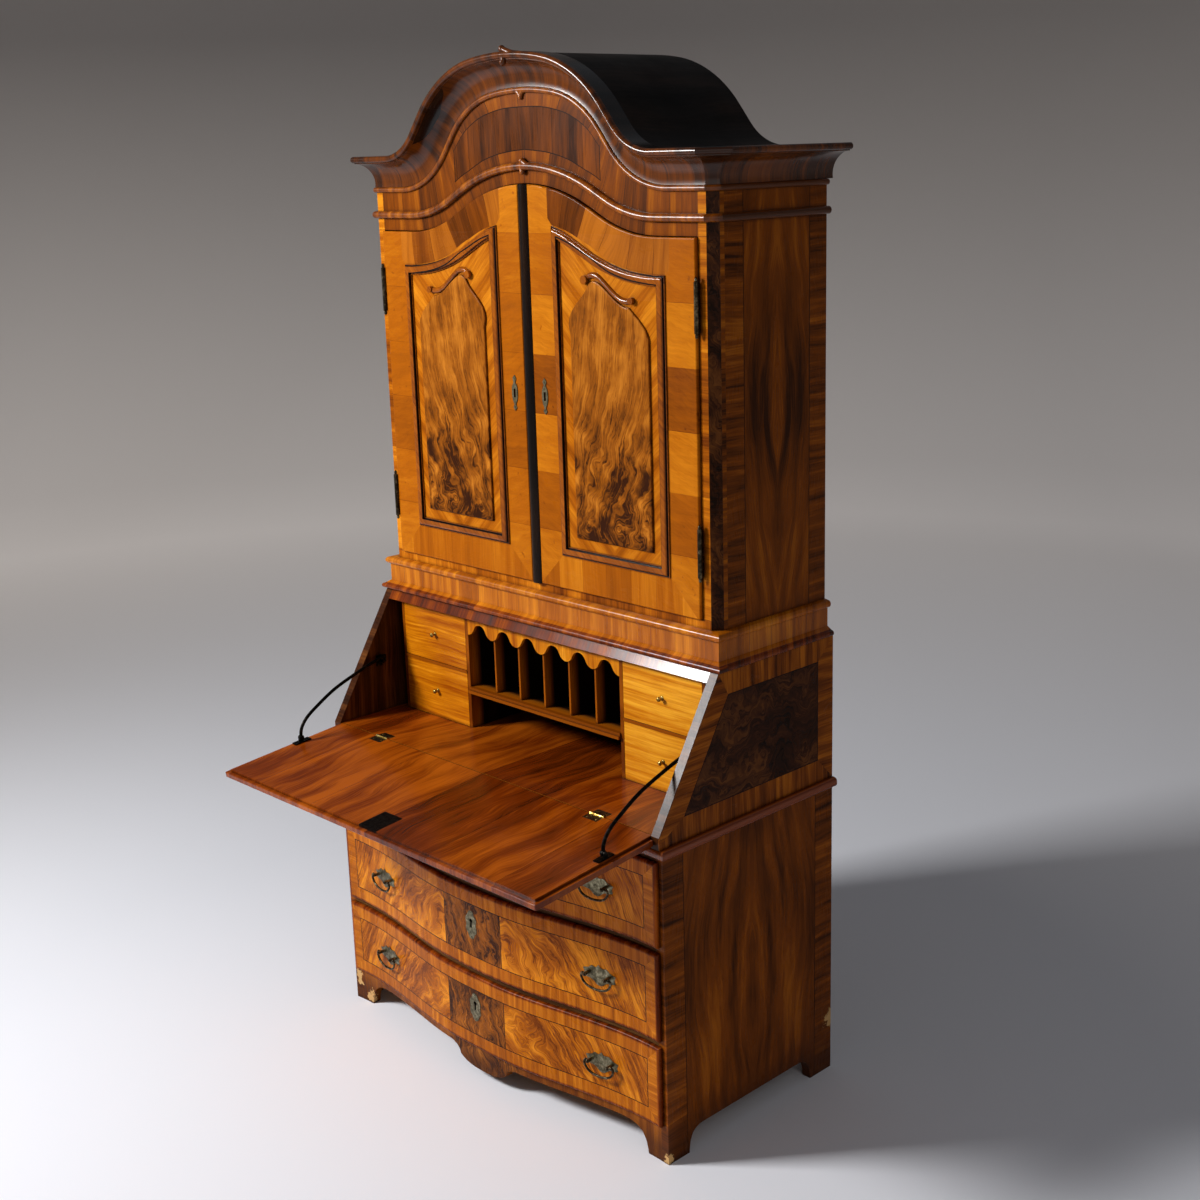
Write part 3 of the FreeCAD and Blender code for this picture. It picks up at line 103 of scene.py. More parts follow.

# The desk: its slope, its sides' outer veneer, the edge on their slant, the tolerance for the nearest edge,
# the seam by the fall's hinges, the fade from the nest's edges to the painted shade of its inside, and the
# span of painted shade on the left small drawers to painted light on the right ones
DESK_SLOPE = math.radians(58.6)
VENEER_THICKNESS = 0.001
SLANT_EDGE = 0.0012
EDGE_TOLERANCE = 0.0005
SEAM_SETBACK = 0.001
SEAM_HALF_WIDTH = 0.0014
NEST_EDGE = (0.008, 0.04)
PAINTED_LIGHT_SPAN = (-0.1, 0.1)

# The fall: how far below level it rests, its length, its hinges and the screws of its fittings
FALL_DROOP = math.radians(5.3)
FALL_LENGTH = 0.323
BARREL_RADIUS = 0.0042
LEAF_PLACE = 0.367
LEAF_SCREW_STEP = 0.0135
LEAF_SCREW_REACH = 0.0145
LOCK_SCREW_SIDE = 0.0255
LOCK_SCREW_REACHES = (0.008, 0.063)
STAY_FOOT = Vector((0.516, -0.1285, 0.003))
STAY_SCREW_STEP = 0.0165

# A door's panel: its head below the door's arch, the middle line of its moulding and the dark fillets beside
# that, the width of a corner of the head, and the heights over the field's foot between which its burl fades
PANEL_DROP = 0.074
MOULDING_MIDDLE = 0.011
FILLET_PLACE = 0.0082
FILLET_HALF_WIDTH = 0.0018
HEAD_CORNER = 0.012
FIELD_BURL_RISE = (0.04, 0.34)

# The middle of the right door's escutcheon, on its face, and its pins' distance from there. Then half the
# length of a hinge, and how far from the cabinet's middle the brass of the doors is that of hinges
DOOR_KEY = (0.049, 0.0724, 1.5751)
DOOR_PIN_RISE = 0.031
HINGE_HALF_LENGTH = 0.053
HINGE_FROM = 0.3

# The frieze: half the length of its shaped field, that field's margins to the two arches, its border, and the
# width of a leaf of veneer. Then the reddish nose of the waist, and the bottom rail of the frame
FRIEZE_REACH = 0.255
FRIEZE_DROP = 0.008
FRIEZE_RISE = 0.045
FRIEZE_BORDER_WIDTH = 0.026
FRIEZE_LEAF = 0.09
WAIST_NOSE = 0.014
RAIL_HEIGHT = 0.0181

# The bails' posts from the pivot's middle, along it and outwards, how far the pins of an escutcheon stand off
# the drawer, and their height as a share of half the escutcheon's
POST_OFFSET = 0.027
POST_REACH = 0.0045
PIN_PROUD = 0.0008
PIN_SHARE = 0.85

# Real widths of the bands' grain and of the clouds on brass, in millimetres
BAND_GRAIN_MM = 12.0
SIDE_BAND_GRAIN_MM = 18.0
BRASS_CLOUD_MM = 9.0

# The part of a face's normal along an axis: for a face that looks along it, for the flat sides of the frame,
# and for its canted corners with their tolerance
FACING = 0.9
SIDE_FACING = 0.95
CANTED_FACING = (0.7, 0.2)

# Each stain: a wood, and the values of the grain where its veins and its light parts lie. The last one has
# the values alone, for metals
FLAME = ("amber", 0.39, 0.6)
BANDING = ("amber", 0.3, 0.7)
CHEVRONS = ("amber", 0.32, 0.64)
DOOR_BLOCKS = ("amber", 0.12, 0.86)
PANEL_MOULDING = ("amber", 0.36, 0.94)
NEST_EDGES = ("amber", 0.4, 0.72)
SMALL_FRONTS = ("honey", 0.36, 0.66)
SIDE_WOOD = ("walnut", 0.38, 0.7)
APRON_WOOD = ("walnut", 0.32, 0.6)
DOOR_HEAD = ("walnut", 0.24, 0.72)
DOOR_INSIDE = ("walnut", 0.36, 0.7)
CORNICE_BLOCKS = ("walnut", 0.44, 0.88)
FRIEZE_BORDER = ("walnut", 0.33, 0.7)
FRIEZE_PANEL = ("walnut", 0.4, 0.84)
BOARDS = ("rosy", 0.36, 0.64)
KEY_BURL = ("burl", 0.43, 0.68)
APRON_BURL = ("burl", 0.42, 0.62)
FIELD_BURL = ("burl", 0.36, 0.58)
SIDE_BURL = ("umber", 0.37, 0.6)
POST_BURL = ("umber", 0.4, 0.62)
RUBBED = (0.3, 0.72)

# Each surface: its roughness where it is smooth and where it is dull, and its specular level
Gloss = namedtuple("Gloss", "smooth dull level")
WAXED = Gloss(0.2, 0.36, 0.08)
WAXED_MOULDING = Gloss(0.2, 0.36, 0.35)
WAXED_SIDE = Gloss(0.16, 0.32, 0.08)
WAXED_BLOCKS = Gloss(0.16, 0.34, 0.3)
POLISHED_BOARD = Gloss(0.12, 0.26, 0.24)
POLISHED_PANEL_MOULDING = Gloss(0.12, 0.26, 0.35)
POLISHED_CORNICE = Gloss(0.14, 0.28, 0.35)
POLISHED_CHEST_TOP = Gloss(0.14, 0.3, 0.5)
POLISHED_DESK_TOP = Gloss(0.1, 0.24, 0.35)
EBONISED = Gloss(0.14, 0.3, 0.2)
RUBBED_NEST = Gloss(0.26, 0.5, 0.08)
PLANED_SHELF = Gloss(0.4, 0.6, 0.15)
PLANED_ROOF = Gloss(0.45, 0.7, 0.15)
PLANED_BOX = Gloss(0.5, 0.7, 0.15)
PLANED_BACK = Gloss(0.55, 0.75, 0.15)

# Turned profiles as (radius, height) in millimetres, from the foot outwards
KNOB_PROFILE = (
    (0.0, 0.0), (5.2, 0.0), (5.2, 0.9), (4.0, 1.7), (2.2, 2.6), (1.9, 5.0), (2.7, 6.4),
    (4.5, 7.8), (5.4, 9.6), (5.1, 11.5), (3.6, 13.1), (1.4, 13.8), (0.0, 13.95),
)
FINIAL_PROFILE = (
    (0.0, -0.5), (4.6, -0.5), (4.9, 0.3), (4.3, 1.1), (3.2, 1.6), (3.4, 2.4), (2.6, 3.6), (0.0, 4.2),
)
SCREW_PROFILE = ((0.0, -0.3), (2.6, -0.3), (2.7, 0.05), (2.2, 0.2), (1.2, 0.3), (0.0, 0.34))
PIN_PROFILE = ((0.0, -0.2), (1.5, -0.2), (1.5, 0.2), (0.9, 0.7), (0.0, 0.9))
ACORN_PROFILE = (
    (0.0, -0.4), (3.6, -0.4), (3.9, 0.6), (3.0, 1.6), (3.5, 2.8), (3.2, 4.4), (1.8, 6.2), (0.0, 7.2),
)
KNOB_STEPS, FINIAL_STEPS, ACORN_STEPS, PIN_STEPS = 24, 20, 16, 12

# Gaps over which points are welded, and the directions upwards and to the front
PIECE_WELD, SWEEP_WELD = 1e-6, 1e-5
UP = Vector((0.0, 0.0, 1.0))
FORWARD = Vector((0.0, -1.0, 0.0))

# The studio: the paper's flat radius, its bend and height, how it fades into painted shade and glows with
# painted light, the lamps, and the camera
SWEEP_FLAT, SWEEP_BEND, SWEEP_HEIGHT = 5.5, 2.0, 7.0
SWEEP_STEPS, BEND_STEPS = 96, 16
FADE_OUTWARD = (1.5, 6.5)
FADE_UPWARD = (0.0, 2.8)
FADE_SHARES = (0.55, 0.45)
PAPER_FIBRE_MM = 400
PICTURE_RIGHT = (0.69, 0.72, 0.0)
GLOW_SPAN = (-3.0, 3.0)
GLOW_SHARES = (1.25, 0.6)
Lamp = namedtuple("Lamp", "size spread place aim")
KEY_LAMP = Lamp(0.9, math.radians(140.0), Vector((-2.2, -2.9, 3.1)), Vector((0.45, -0.3, 0.8)))
FILL_LAMP = Lamp(2.5, math.radians(180.0), Vector((3.6, -1.4, 2.6)), Vector((0.0, 0.1, 1.1)))
CAMERA_PLACE = (2.7505, -2.38556, 2.0918)
CAMERA_AZIMUTH = math.radians(46.04)
CAMERA_ELEVATION = math.radians(14.96)
CAMERA_ROLL = math.radians(-1.74)
SENSOR_MM = 36.0

# Outputs of the Light Path node for camera, glossy and transmission rays
LIGHT_PATH_SEEN = (0, 3, 6)


def linear(hex_colour):
    """An sRGB hex value as linear RGB."""
    parts = [int(hex_colour[i : i + 2], 16) / 255 for i in (1, 3, 5)]
    return tuple(c / 12.92 if c <= 0.04045 else ((c + 0.055) / 1.055) ** 2.4 for c in parts)


def colour(name, description, hex_colour):
    return bpy.props.FloatVectorProperty(
        name=name, description=description, default=linear(hex_colour), subtype="COLOR", min=0.0, max=1.0
    )


def tones(kind, thing, *hex_colours):
    """Colours for the veins, the body and the light parts of one wood or metal."""
    parts = (("vein", "Dark parts"), ("body", "Body"), ("light", "Light parts"))
    return {
        f"{kind}_{part}": colour(f"{kind.title()} {part}", f"{words} of the {thing}", hex_colour)
        for (part, words), hex_colour in zip(parts, hex_colours)
    }


def amount(name, description, default, **kind):
    return bpy.props.FloatProperty(name=name, description=description, default=default, min=0.0, **kind)


def length(name, description, metres):
    return amount(name, description, metres, unit="LENGTH")


class EscritoireWoods(bpy.types.PropertyGroup):
    __annotations__ = {
        **tones("amber", "golden walnut", "#6a2f02", "#ae5c06", "#e48d1c"),
        **tones("honey", "small drawers' walnut", "#9c4a02", "#d27d0c", "#fbb02e"),
        **tones("walnut", "brown walnut", "#361702", "#803f08", "#b86816"),
        **tones("umber", "darkest veneers", "#180a03", "#3c1d0b", "#6b3d18"),
        **tones("rosy", "writing boards", "#371000", "#702b03", "#a8520c"),
        **tones("burl", "burl", "#341604", "#95510f", "#cf7f26"),
        **tones("pine", "pine", "#3a2008", "#6a431c", "#936733"),
        # The soot tones also paint shade: inside the nest and behind the drawers' keyholes
        **tones("soot", "stained roof", "#050302", "#120a06", "#24150c"),
        # The dark line colour is also the painted shade that polish lays in corners and recesses
        "dark_line_and_shade": colour("Dark line", "Dark inlay line", "#1c0c04"),
        "pale_line": colour("Pale line", "Pale inlay line", "#b8691c"),
        "raw": colour("Raw wood", "Bare wood where a corner is chipped", "#cfa368"),
    }


class EscritoireMetals(bpy.types.PropertyGroup):
    __annotations__ = {
        **tones("plate", "brass plates", "#3d3929", "#716b55", "#aaa387"),
        **tones("bail", "bails", "#0f0d09", "#3a3226", "#8d8064"),
        **tones("bright", "bright brass", "#4d3c17", "#a68a45", "#e3cf8c"),
        **tones("iron", "wrought iron", "#050505", "#141210", "#332e29"),
    }


class EscritoireSizes(bpy.types.PropertyGroup):
    drawer_band: length("Drawer band", "Width of the cross-banding round a large drawer", 0.036)
    key_block: length("Key block", "Half width of the burl block behind an escutcheon", 0.097)
    chest_band: length("Chest band", "Width of the cross-banding on the chest's sides", 0.06)
    cabinet_band: length("Cabinet band", "Width of the cross-banding on the cabinet's sides", 0.055)
    desk_band: length("Desk band", "Width of the cross-banding on the desk's sides", 0.052)
    string: length("Stringing", "Width of an inlay line", 0.002)
    joint: length("Joint", "Width of the dark joint between two veneer blocks", 0.0009)
    stile_block: length("Stile block", "Length of a veneer block on a door's stiles", 0.128)
    rail_block: length("Rail block", "Length of a veneer block on a rail", 0.074)
    head_block: length("Head block", "Length of a veneer block over the door panels", 0.064)
    cove_block: length("Cove block", "Length of a cross-grained block on the mouldings", 0.07)
    board: length("Board", "Width of a board of the writing surface", 0.205)


class EscritoireStage(bpy.types.PropertyGroup):
    lens_mm: amount("Lens", "Focal length", 50.8, unit="CAMERA")
    key_watts: amount("Key light", "Power of the key light", 130.0, unit="POWER")
    fill_watts: amount("Fill light", "Power of the fill light", 15.0, unit="POWER")
    air: amount("Air", "Strength of the light from all round", 0.2, subtype="FACTOR")
    sky: colour("Sky", "Colour of the light from all round", "#c8ccd4")
    floor: colour("Floor", "Paper on the floor", "#f4f5fb")
    # The top colour is the paper greyed by painted shade; the glows are painted light
    top: colour("Top", "Paper behind, at the top of the picture", "#aaa39e")
    glow: colour("Glow", "Glow of the paper behind, where it bends", "#908a85")
    dim_glow: colour("Dim glow", "Glow of the paper behind, at the top of the picture", "#383533")


def add(kind, *plugs, tree=None, out=0, stops=(), points=(), **settings):
    """Adds a shader node, named by its kind or as kind.OPERATION, to a tree or to that of its first link.
    Sets it, links or fills its sockets in order, and gives back one of its outputs."""
    tree = tree or next(plug.id_data for plug in plugs if isinstance(plug, bpy.types.NodeSocket))
    kind, _, operation = kind.partition(".")
    made = tree.nodes.new("ShaderNode" + kind)
    if operation:
        settings["operation"] = operation
    for name, value in settings.items():
        setattr(made, name, value)
    sockets = [socket for socket in made.inputs if socket.enabled]
    for socket, value in zip(sockets, plugs):
        if isinstance(value, bpy.types.NodeSocket):
            tree.links.new(value, socket)
        elif value is not None:
            socket.default_value = value
    if stops:
        ramp = made.color_ramp
        while len(ramp.elements) < len(stops):
            ramp.elements.new(1.0)
        for element, (place, shade) in zip(ramp.elements, stops):
            element.position = place
            element.color = shade
    if points:
        line = made.mapping.curves[0].points
        while len(line) < len(points):
            line.new(1.0, 1.0)
        for point, place in zip(line, points):
            point.location = place
        made.mapping.update()
    return [socket for socket in made.outputs if socket.enabled][out]


def begin(name):
    """A new material, and the place on the piece, whole and as x, y and z, in metres."""
    material = bpy.data.materials.new(name)
    material.use_nodes = True
    tree = material.node_tree
    tree.nodes.clear()
    place = add("TexCoord", tree=tree, out=3)
    axes = [add("SeparateXYZ", place, out=i) for i in range(3)]
    return material, place, axes


def opaque(shade):
    return tuple(shade) + (1.0,)


def wood(name):
    return opaque(getattr(bpy.context.scene.escritoire_woods, name))


def sizes():
    return bpy.context.scene.escritoire_sizes


def finish_surface(material, shade, rough, **constants):
    """Principled shader with a colour, a roughness and links or plain values on its other sockets."""
    tree = material.node_tree
    shader = tree.nodes.new("ShaderNodeBsdfPrincipled")
    tree.links.new(shade, shader.inputs["Base Color"])
    tree.links.new(rough, shader.inputs["Roughness"])
    for name, value in constants.items():
        socket = shader.inputs[name.replace("_", " ").title().replace("Ior", "IOR")]
        if isinstance(value, bpy.types.NodeSocket):
            tree.links.new(value, socket)
        else:
            socket.default_value = value
    output = tree.nodes.new("ShaderNodeOutputMaterial")
    tree.links.new(shader.outputs[0], output.inputs[0])
    return material


def polish(material, shade, height, gloss=WAXED):
    """Shellac polish: a gloss, duller in pores and where rubbed, over painted shade and grime in corners."""
    shade_and_grime_reach, rub_mm, pore_depth_mm = 0.012, 90, 0.08
    tree = material.node_tree
    place = add("TexCoord", tree=tree, out=3)
    # Painted shade with grime: the colour darkens to the dark line colour where corners and recesses close in
    open_share = add("AmbientOcclusion", None, shade_and_grime_reach, tree=tree, out=1, samples=6)
    unshaded_and_clean = add("MapRange", open_share, 0.3, 0.8, 0.0, 1.0)
    shade = lay_over(wood("dark_line_and_shade"), (unshaded_and_clean, shade))
    rubbed = add("TexNoise", place, 1000 / rub_mm, 3.0, 0.6)
    worn = add("Math.MULTIPLY_ADD", rubbed, 0.6, height)
    rough = add("MapRange", worn, 0.45, 1.15, gloss.dull, gloss.smooth)
    bump = add("Bump", 0.5, pore_depth_mm / 1000, None, height)
    return finish_surface(material, shade, rough, normal=bump, specular_ior_level=gloss.level)


def streaks(lines, across, along, detail, rough):
    """Noise drawn out along the grain, with so many streaks to a metre across it and along it."""
    return add("TexNoise", add("VectorMath.MULTIPLY", lines, (across, along, 1.0)), 1.0, detail, rough)


def grain(across, along, seed, width_mm, wander_mm=14.0):
    """Long grain from 0 to 1: soft streaks about width_mm wide that wander on their way, and fine pores."""
    pore_mm = 3.5
    flat = add("CombineXYZ", across, along, seed)
    slow = streaks(flat, 6.0, 3.5, 2.0, 0.5)
    drift = add("Math.MULTIPLY_ADD", slow, wander_mm / 500, -wander_mm / 1000)
    lines = add("CombineXYZ", add("Math", across, drift), along, seed)
    broad = streaks(lines, 1000 / width_mm, 2.2, 3.0, 0.55)
    fine = streaks(lines, 1000 / pore_mm, 12.0, 3.0, 0.65)
    base = add("Math.MULTIPLY_ADD", broad, 0.5, add("Math.MULTIPLY", slow, 0.25))
    return add("Math.MULTIPLY_ADD", fine, 0.25, base)


def figure(place, seed, size_mm, swirl, lean=0.3):
    """Figured veneer from 0 to 1: grain that flows round knots size_mm across, swirl metres off its line."""
    streak_mm, streak_length_mm, pore_mm, pore_length_mm = 24, 160, 4, 70
    moved = add("VectorMath", place, (seed, seed * 0.7, seed * 0.3))
    cloud = add("TexNoise", moved, 1000 / size_mm, 3.0, 0.5)
    for finer, share in ((1.0, 1.0), (3.0, 0.2)):
        eddy = add("TexNoise", moved, finer * 1000 / size_mm, 2.0, 0.5, out=1)
        eddy = add("VectorMath.MULTIPLY", eddy, (share, share, share))
        moved = add("VectorMath", moved, add("VectorMath.SCALE", eddy, swirl))
    flow = [add("SeparateXYZ", moved, out=i) for i in range(3)]
    across = add("Math.MULTIPLY_ADD", flow[2], lean, flow[0])
    lines = add("CombineXYZ", across, flow[2], flow[1])
    broad = streaks(lines, 1000 / streak_mm, 1000 / streak_length_mm, 6.0, 0.7)
    fine = streaks(lines, 1000 / pore_mm, 1000 / pore_length_mm, 3.0, 0.65)
    vein = add("MapRange", from_middle(broad, 0.46), 0.0, 0.03, -0.08, 0.0)
    clouded = add("Math.MULTIPLY_ADD", cloud, 0.32, vein)
    base = add("Math.MULTIPLY_ADD", broad, 0.38, clouded)
    return add("Math.MULTIPLY_ADD", fine, 0.32, base)


def stain(value, kind, low=0.37, high=0.63, source=None):
    """Colour of a wood or metal at a value, from its veins through its body to its light parts."""
    group = source or bpy.context.scene.escritoire_woods
    shades = [opaque(getattr(group, f"{kind}_{part}")) for part in ("vein", "body", "light")]
    places = (low, (low + high) / 2, high)
    return add("ValToRGB", value, stops=list(zip(places, shades)))


def lay_over(ground, *layers):
    """Colours laid over a ground in turn, each where its mask is 1."""
    for mask, shade in layers:
        ground = add("Mix", mask, ground, shade, data_type="RGBA")
    return ground


def from_middle(socket, middle):
    """Distance from a middle line."""
    return add("Math.ABSOLUTE", add("Math.SUBTRACT", socket, middle))


def least(*sockets):
    result = sockets[0]
    for socket in sockets[1:]:
        result = add("Math.MINIMUM", result, socket)
    return result


def most(*sockets):
    result = sockets[0]
    for socket in sockets[1:]:
        result = add("Math.MAXIMUM", result, socket)
    return result


def inlay_line(distance, at, shade, line="dark_line_and_shade"):
    """A line of inlay where the distance is at."""
    width = sizes().string
    return lay_over(shade, (add("Math.COMPARE", distance, at, width / 2), wood(line)))


def laid(along, block, seed, value, spread):
    """Grain of veneer laid in blocks: its tone changes from one block to the next, with a thin dark joint."""
    width = sizes().joint
    count = add("Math.DIVIDE", along, block)
    number = add("Math.FLOOR", count)
    tone = add("TexWhiteNoise", add("CombineXYZ", number, seed, 1.0), noise_dimensions="3D")
    shifted = add("Math.MULTIPLY_ADD", tone, spread, value)
    joint = add("Math.LESS_THAN", add("Math.FRACT", count), width / block)
    drop = add("Math.MULTIPLY_ADD", joint, -0.25, -spread / 2)
    return add("Math", shifted, drop)


def blocks(along, square, block, seeds, width_mm, spread, wander_mm=14.0):
    """Blocks of cross-grained veneer along a line; the seeds are those of their tones and of their grain."""
    value = grain(along, square, seeds[1], width_mm, wander_mm)
    return laid(along, block, seeds[0], value, spread)


def cross_banded(shade, from_side, from_end, side_grain, end_grain, band):
    """Veneer within cross-banding and an inlay line, and the distance in from the nearest edge."""
    inside = least(from_side, from_end)
    at_side = add("Math.LESS_THAN", from_side, from_end)
    banding = stain(add("Mix", at_side, end_grain, side_grain), *BANDING)
    shade = lay_over(shade, (add("Math.LESS_THAN", inside, band), banding))
    return inlay_line(inside, band, shade), inside


def over_arch(axes, arch):
    """Height over an arch's line, and a place along the arch that stays the same square to that line."""
    across = add("Math.ABSOLUTE", axes[0])
    step = arch.reach / 50
    lines = []
    for shift in (-step, 0.0, step):
        share = add("MapRange", add("Math", across, shift), 0.0, arch.reach, 0.0, 1.0)
        lines.append(add("FloatCurve", 1.0, share, points=arch.shares))
    level = add("Math.SUBTRACT", axes[2], arch.flat)
    over = add("Math.MULTIPLY_ADD", lines[1], -arch.rise, level)
    change = add("Math.SUBTRACT", lines[2], lines[0])
    slope = add("Math.MULTIPLY", change, arch.rise / (2 * step))
    square = add("Math.MULTIPLY_ADD", slope, slope, 1.0)
    lean = add("Math.DIVIDE", add("Math.MULTIPLY", over, slope), square)
    return over, add("Math", across, lean)


def chipped_darker_feet(place, axes, shade):
    """Feet darker towards the bottom, with bare wood and a ragged edge where a corner is knocked off."""
    splinter_mm = 14
    mask = add("MapRange", axes[2], 0.3 * DARKER_FOOT_HEIGHT, DARKER_FOOT_HEIGHT, 0.75, 0.0)
    shade = lay_over(shade, (mask, wood("umber_body")))
    for spot, size in CHEST_CHIPS:
        away = add("VectorMath.DISTANCE", place, spot)
        ragged = add("TexNoise", place, 1000 / splinter_mm, 4.0, 0.65)
        edge = add("Math.MULTIPLY_ADD", ragged, 4.0 * size, -size)
        shade = lay_over(shade, (add("Math.LESS_THAN", away, edge), wood("raw")))
    return shade


def dress(material, *names):
    for name in names:
        NODES[name].data.materials.clear()
        NODES[name].data.materials.append(material)


def veneer(name, across, along, seed, kind, width_mm, gloss=WAXED):
    """Straight-grained wood, polished or planed: long streaks with fine dark pores."""
    material, _, axes = begin(name)
    value = grain(axes[across], axes[along], seed, width_mm)
    return polish(material, stain(value, kind), value, gloss)


def drawer_front_veneer(drawer, seed):
    """Polished walnut of a large drawer: cross-banding, stringing, figured fields and a burl key block."""
    low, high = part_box(f"{drawer}_drawer_front")
    middle = (low.z + high.z) / 2
    material, place, axes = begin(f"polished_walnut_veneer_{drawer}_drawer")
    across = add("Math.ABSOLUTE", axes[0])
    from_side = add("Math.SUBTRACT", (high.x - low.x) / 2, across)
    from_level = add("Math.SUBTRACT", (high.z - low.z) / 2, from_middle(axes[2], middle))
    folded = add("CombineXYZ", across, 0.0, axes[2])
    swirl = add("MapRange", across, sizes().key_block, FLAME_REACH, 0.14, 0.03)
    flame = figure(folded, seed, 110.0, swirl, 0.5)
    knots = figure(place, seed + 1.7, 60.0, 0.09)
    in_block = add("Math.LESS_THAN", across, sizes().key_block)
    shade = lay_over(stain(flame, *FLAME), (in_block, stain(knots, *KEY_BURL)))
    shade = inlay_line(across, sizes().key_block, shade)
    level_grain = grain(axes[0], axes[2], seed + 3, BAND_GRAIN_MM)
    side_grain = grain(axes[2], axes[0], seed + 5, BAND_GRAIN_MM)
    shade, inside = cross_banded(shade, from_side, from_level, side_grain, level_grain, sizes().drawer_band)
    lip = add("MapRange", inside, *DRAWER_LIP, 1.0, 0.0)
    # Painted shade: black wood under the escutcheon, seen through its keyhole so that the hole looks dark
    key_level = from_middle(axes[2], middle + KEY_RISE)
    key_side = add("Math.MULTIPLY", across, 2.0)
    keyhole = add("Math.LESS_THAN", most(key_level, key_side), KEYHOLE_SHADE_REACH)
    shade = lay_over(shade, (lip, stain(level_grain, "rosy")), (keyhole, wood("soot_vein")))
    return polish(material, shade, flame)


def side_veneer(name, node, seed, band, banded_top):
    """Polished walnut veneer of a side: upright arched grain between cross-banded edges."""
    low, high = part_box(node)
    material, place, axes = begin(name)
    off = from_middle(axes[1], (low.y + high.y) / 2)
    inside = add("Math.SUBTRACT", (high.y - low.y) / 2, off)
    rise = add("Math.SUBTRACT", axes[2], (low.z + high.z) / 2)
    bow = add("Math.MULTIPLY_ADD", add("Math.MULTIPLY", rise, rise), 0.25, off)
    value = grain(bow, axes[2], seed, 36.0, 30.0)
    band_value = grain(axes[2], axes[1], seed + 2, SIDE_BAND_GRAIN_MM)
    if banded_top:
        from_top = add("Math.SUBTRACT", high.z, axes[2])
        top_value = grain(axes[1], axes[2], seed + 4, SIDE_BAND_GRAIN_MM)
        at_top = add("Math.LESS_THAN", from_top, inside)
        band_value = add("Mix", at_top, band_value, top_value)
        inside = least(inside, from_top)
    in_band = add("Math.LESS_THAN", inside, band)
    shade = lay_over(stain(value, *SIDE_WOOD), (in_band, stain(band_value, *SIDE_WOOD)))
    shade = inlay_line(inside, band, shade)
    if node == "chest_sides":
        shade = chipped_darker_feet(place, axes, shade)
    return polish(material, shade, value)


def desk_side_veneer():
    """Polished walnut of the desk's sides: dark burl within cross-banding that follows every edge."""
    band = sizes().desk_band
    low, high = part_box("desk_sides")
    bed_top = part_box("writing_bed")[1].z
    material, place, axes = begin("polished_walnut_veneer_desk_side")
    from_rear = add("Math.SUBTRACT", high.y, axes[1])
    level = add("Math.SUBTRACT", axes[2], bed_top)
    reach = add("Math.SUBTRACT", axes[1], low.y)
    along = add("Math.MULTIPLY", level, -math.cos(DESK_SLOPE))
    from_slant = add("Math.MULTIPLY_ADD", reach, math.sin(DESK_SLOPE), along)
    from_top = add("Math.SUBTRACT", high.z, axes[2])
    from_level = least(from_top, add("Math.SUBTRACT", axes[2], low.z))
    inside = least(from_rear, from_slant, from_level)
    knots = figure(place, 4.2, 90.0, 0.08)
    upright_grain = grain(axes[1], axes[2], 8.0, SIDE_BAND_GRAIN_MM)
    level_grain = grain(axes[2], axes[1], 9.0, SIDE_BAND_GRAIN_MM)
    at_level = add("Math.COMPARE", from_level, inside, EDGE_TOLERANCE)
    banding = lay_over(stain(level_grain, "walnut"), (at_level, stain(upright_grain, "walnut")))
    in_band = add("Math.LESS_THAN", inside, band)
    shade = lay_over(stain(knots, *SIDE_BURL), (in_band, banding))
    shade = inlay_line(inside, band, shade)
    across = add("Math.ABSOLUTE", axes[0])
    within = add("Math.GREATER_THAN", high.x - VENEER_THICKNESS, across)
    lining = stain(grain(axes[1], axes[2], 12.0, 26.0), "umber")
    edge = add("Math.LESS_THAN", from_slant, SLANT_EDGE)
    shade = lay_over(shade, (within, lining), (edge, stain(upright_grain, "umber")))
    return polish(material, shade, knots, WAXED_SIDE)


def apron_veneer():
    """Polished walnut of the apron: upright grain with burl on the drop, chipped at its lowest edge."""
    material, place, axes = begin("polished_walnut_veneer_apron")
    value = grain(axes[0], axes[2], 5.0, 24.0)
    knots = figure(place, 2.3, 90.0, 0.12)
    middle = add("MapRange", add("Math.ABSOLUTE", axes[0]), *APRON_BURL_REACH, 1.0, 0.0)
    shade = lay_over(stain(value, *APRON_WOOD), (middle, stain(knots, *APRON_BURL)))
    return polish(material, chipped_darker_feet(place, axes, shade), value)


def boards(axes):
    """Boards of the writing surface, joined edge to edge: their grain and their colour."""
    value = grain(axes[0], axes[1], 3.0, 46.0, 60.0)
    value = laid(axes[0], sizes().board, 4.0, value, 0.14)
    return value, stain(value, *BOARDS)


def writing_board_wood():
    """Polished walnut boards of the writing bed, with a rubbed seam at the fall's hinges."""
    bed_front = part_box("writing_bed")[0].y
    material, _, axes = begin("polished_walnut_boards")
    value, shade = boards(axes)
    seam = add("Math.COMPARE", axes[1], bed_front - SEAM_SETBACK, SEAM_HALF_WIDTH)
    shade = lay_over(shade, (seam, wood("pale_line")))
    return polish(material, shade, value, POLISHED_BOARD)


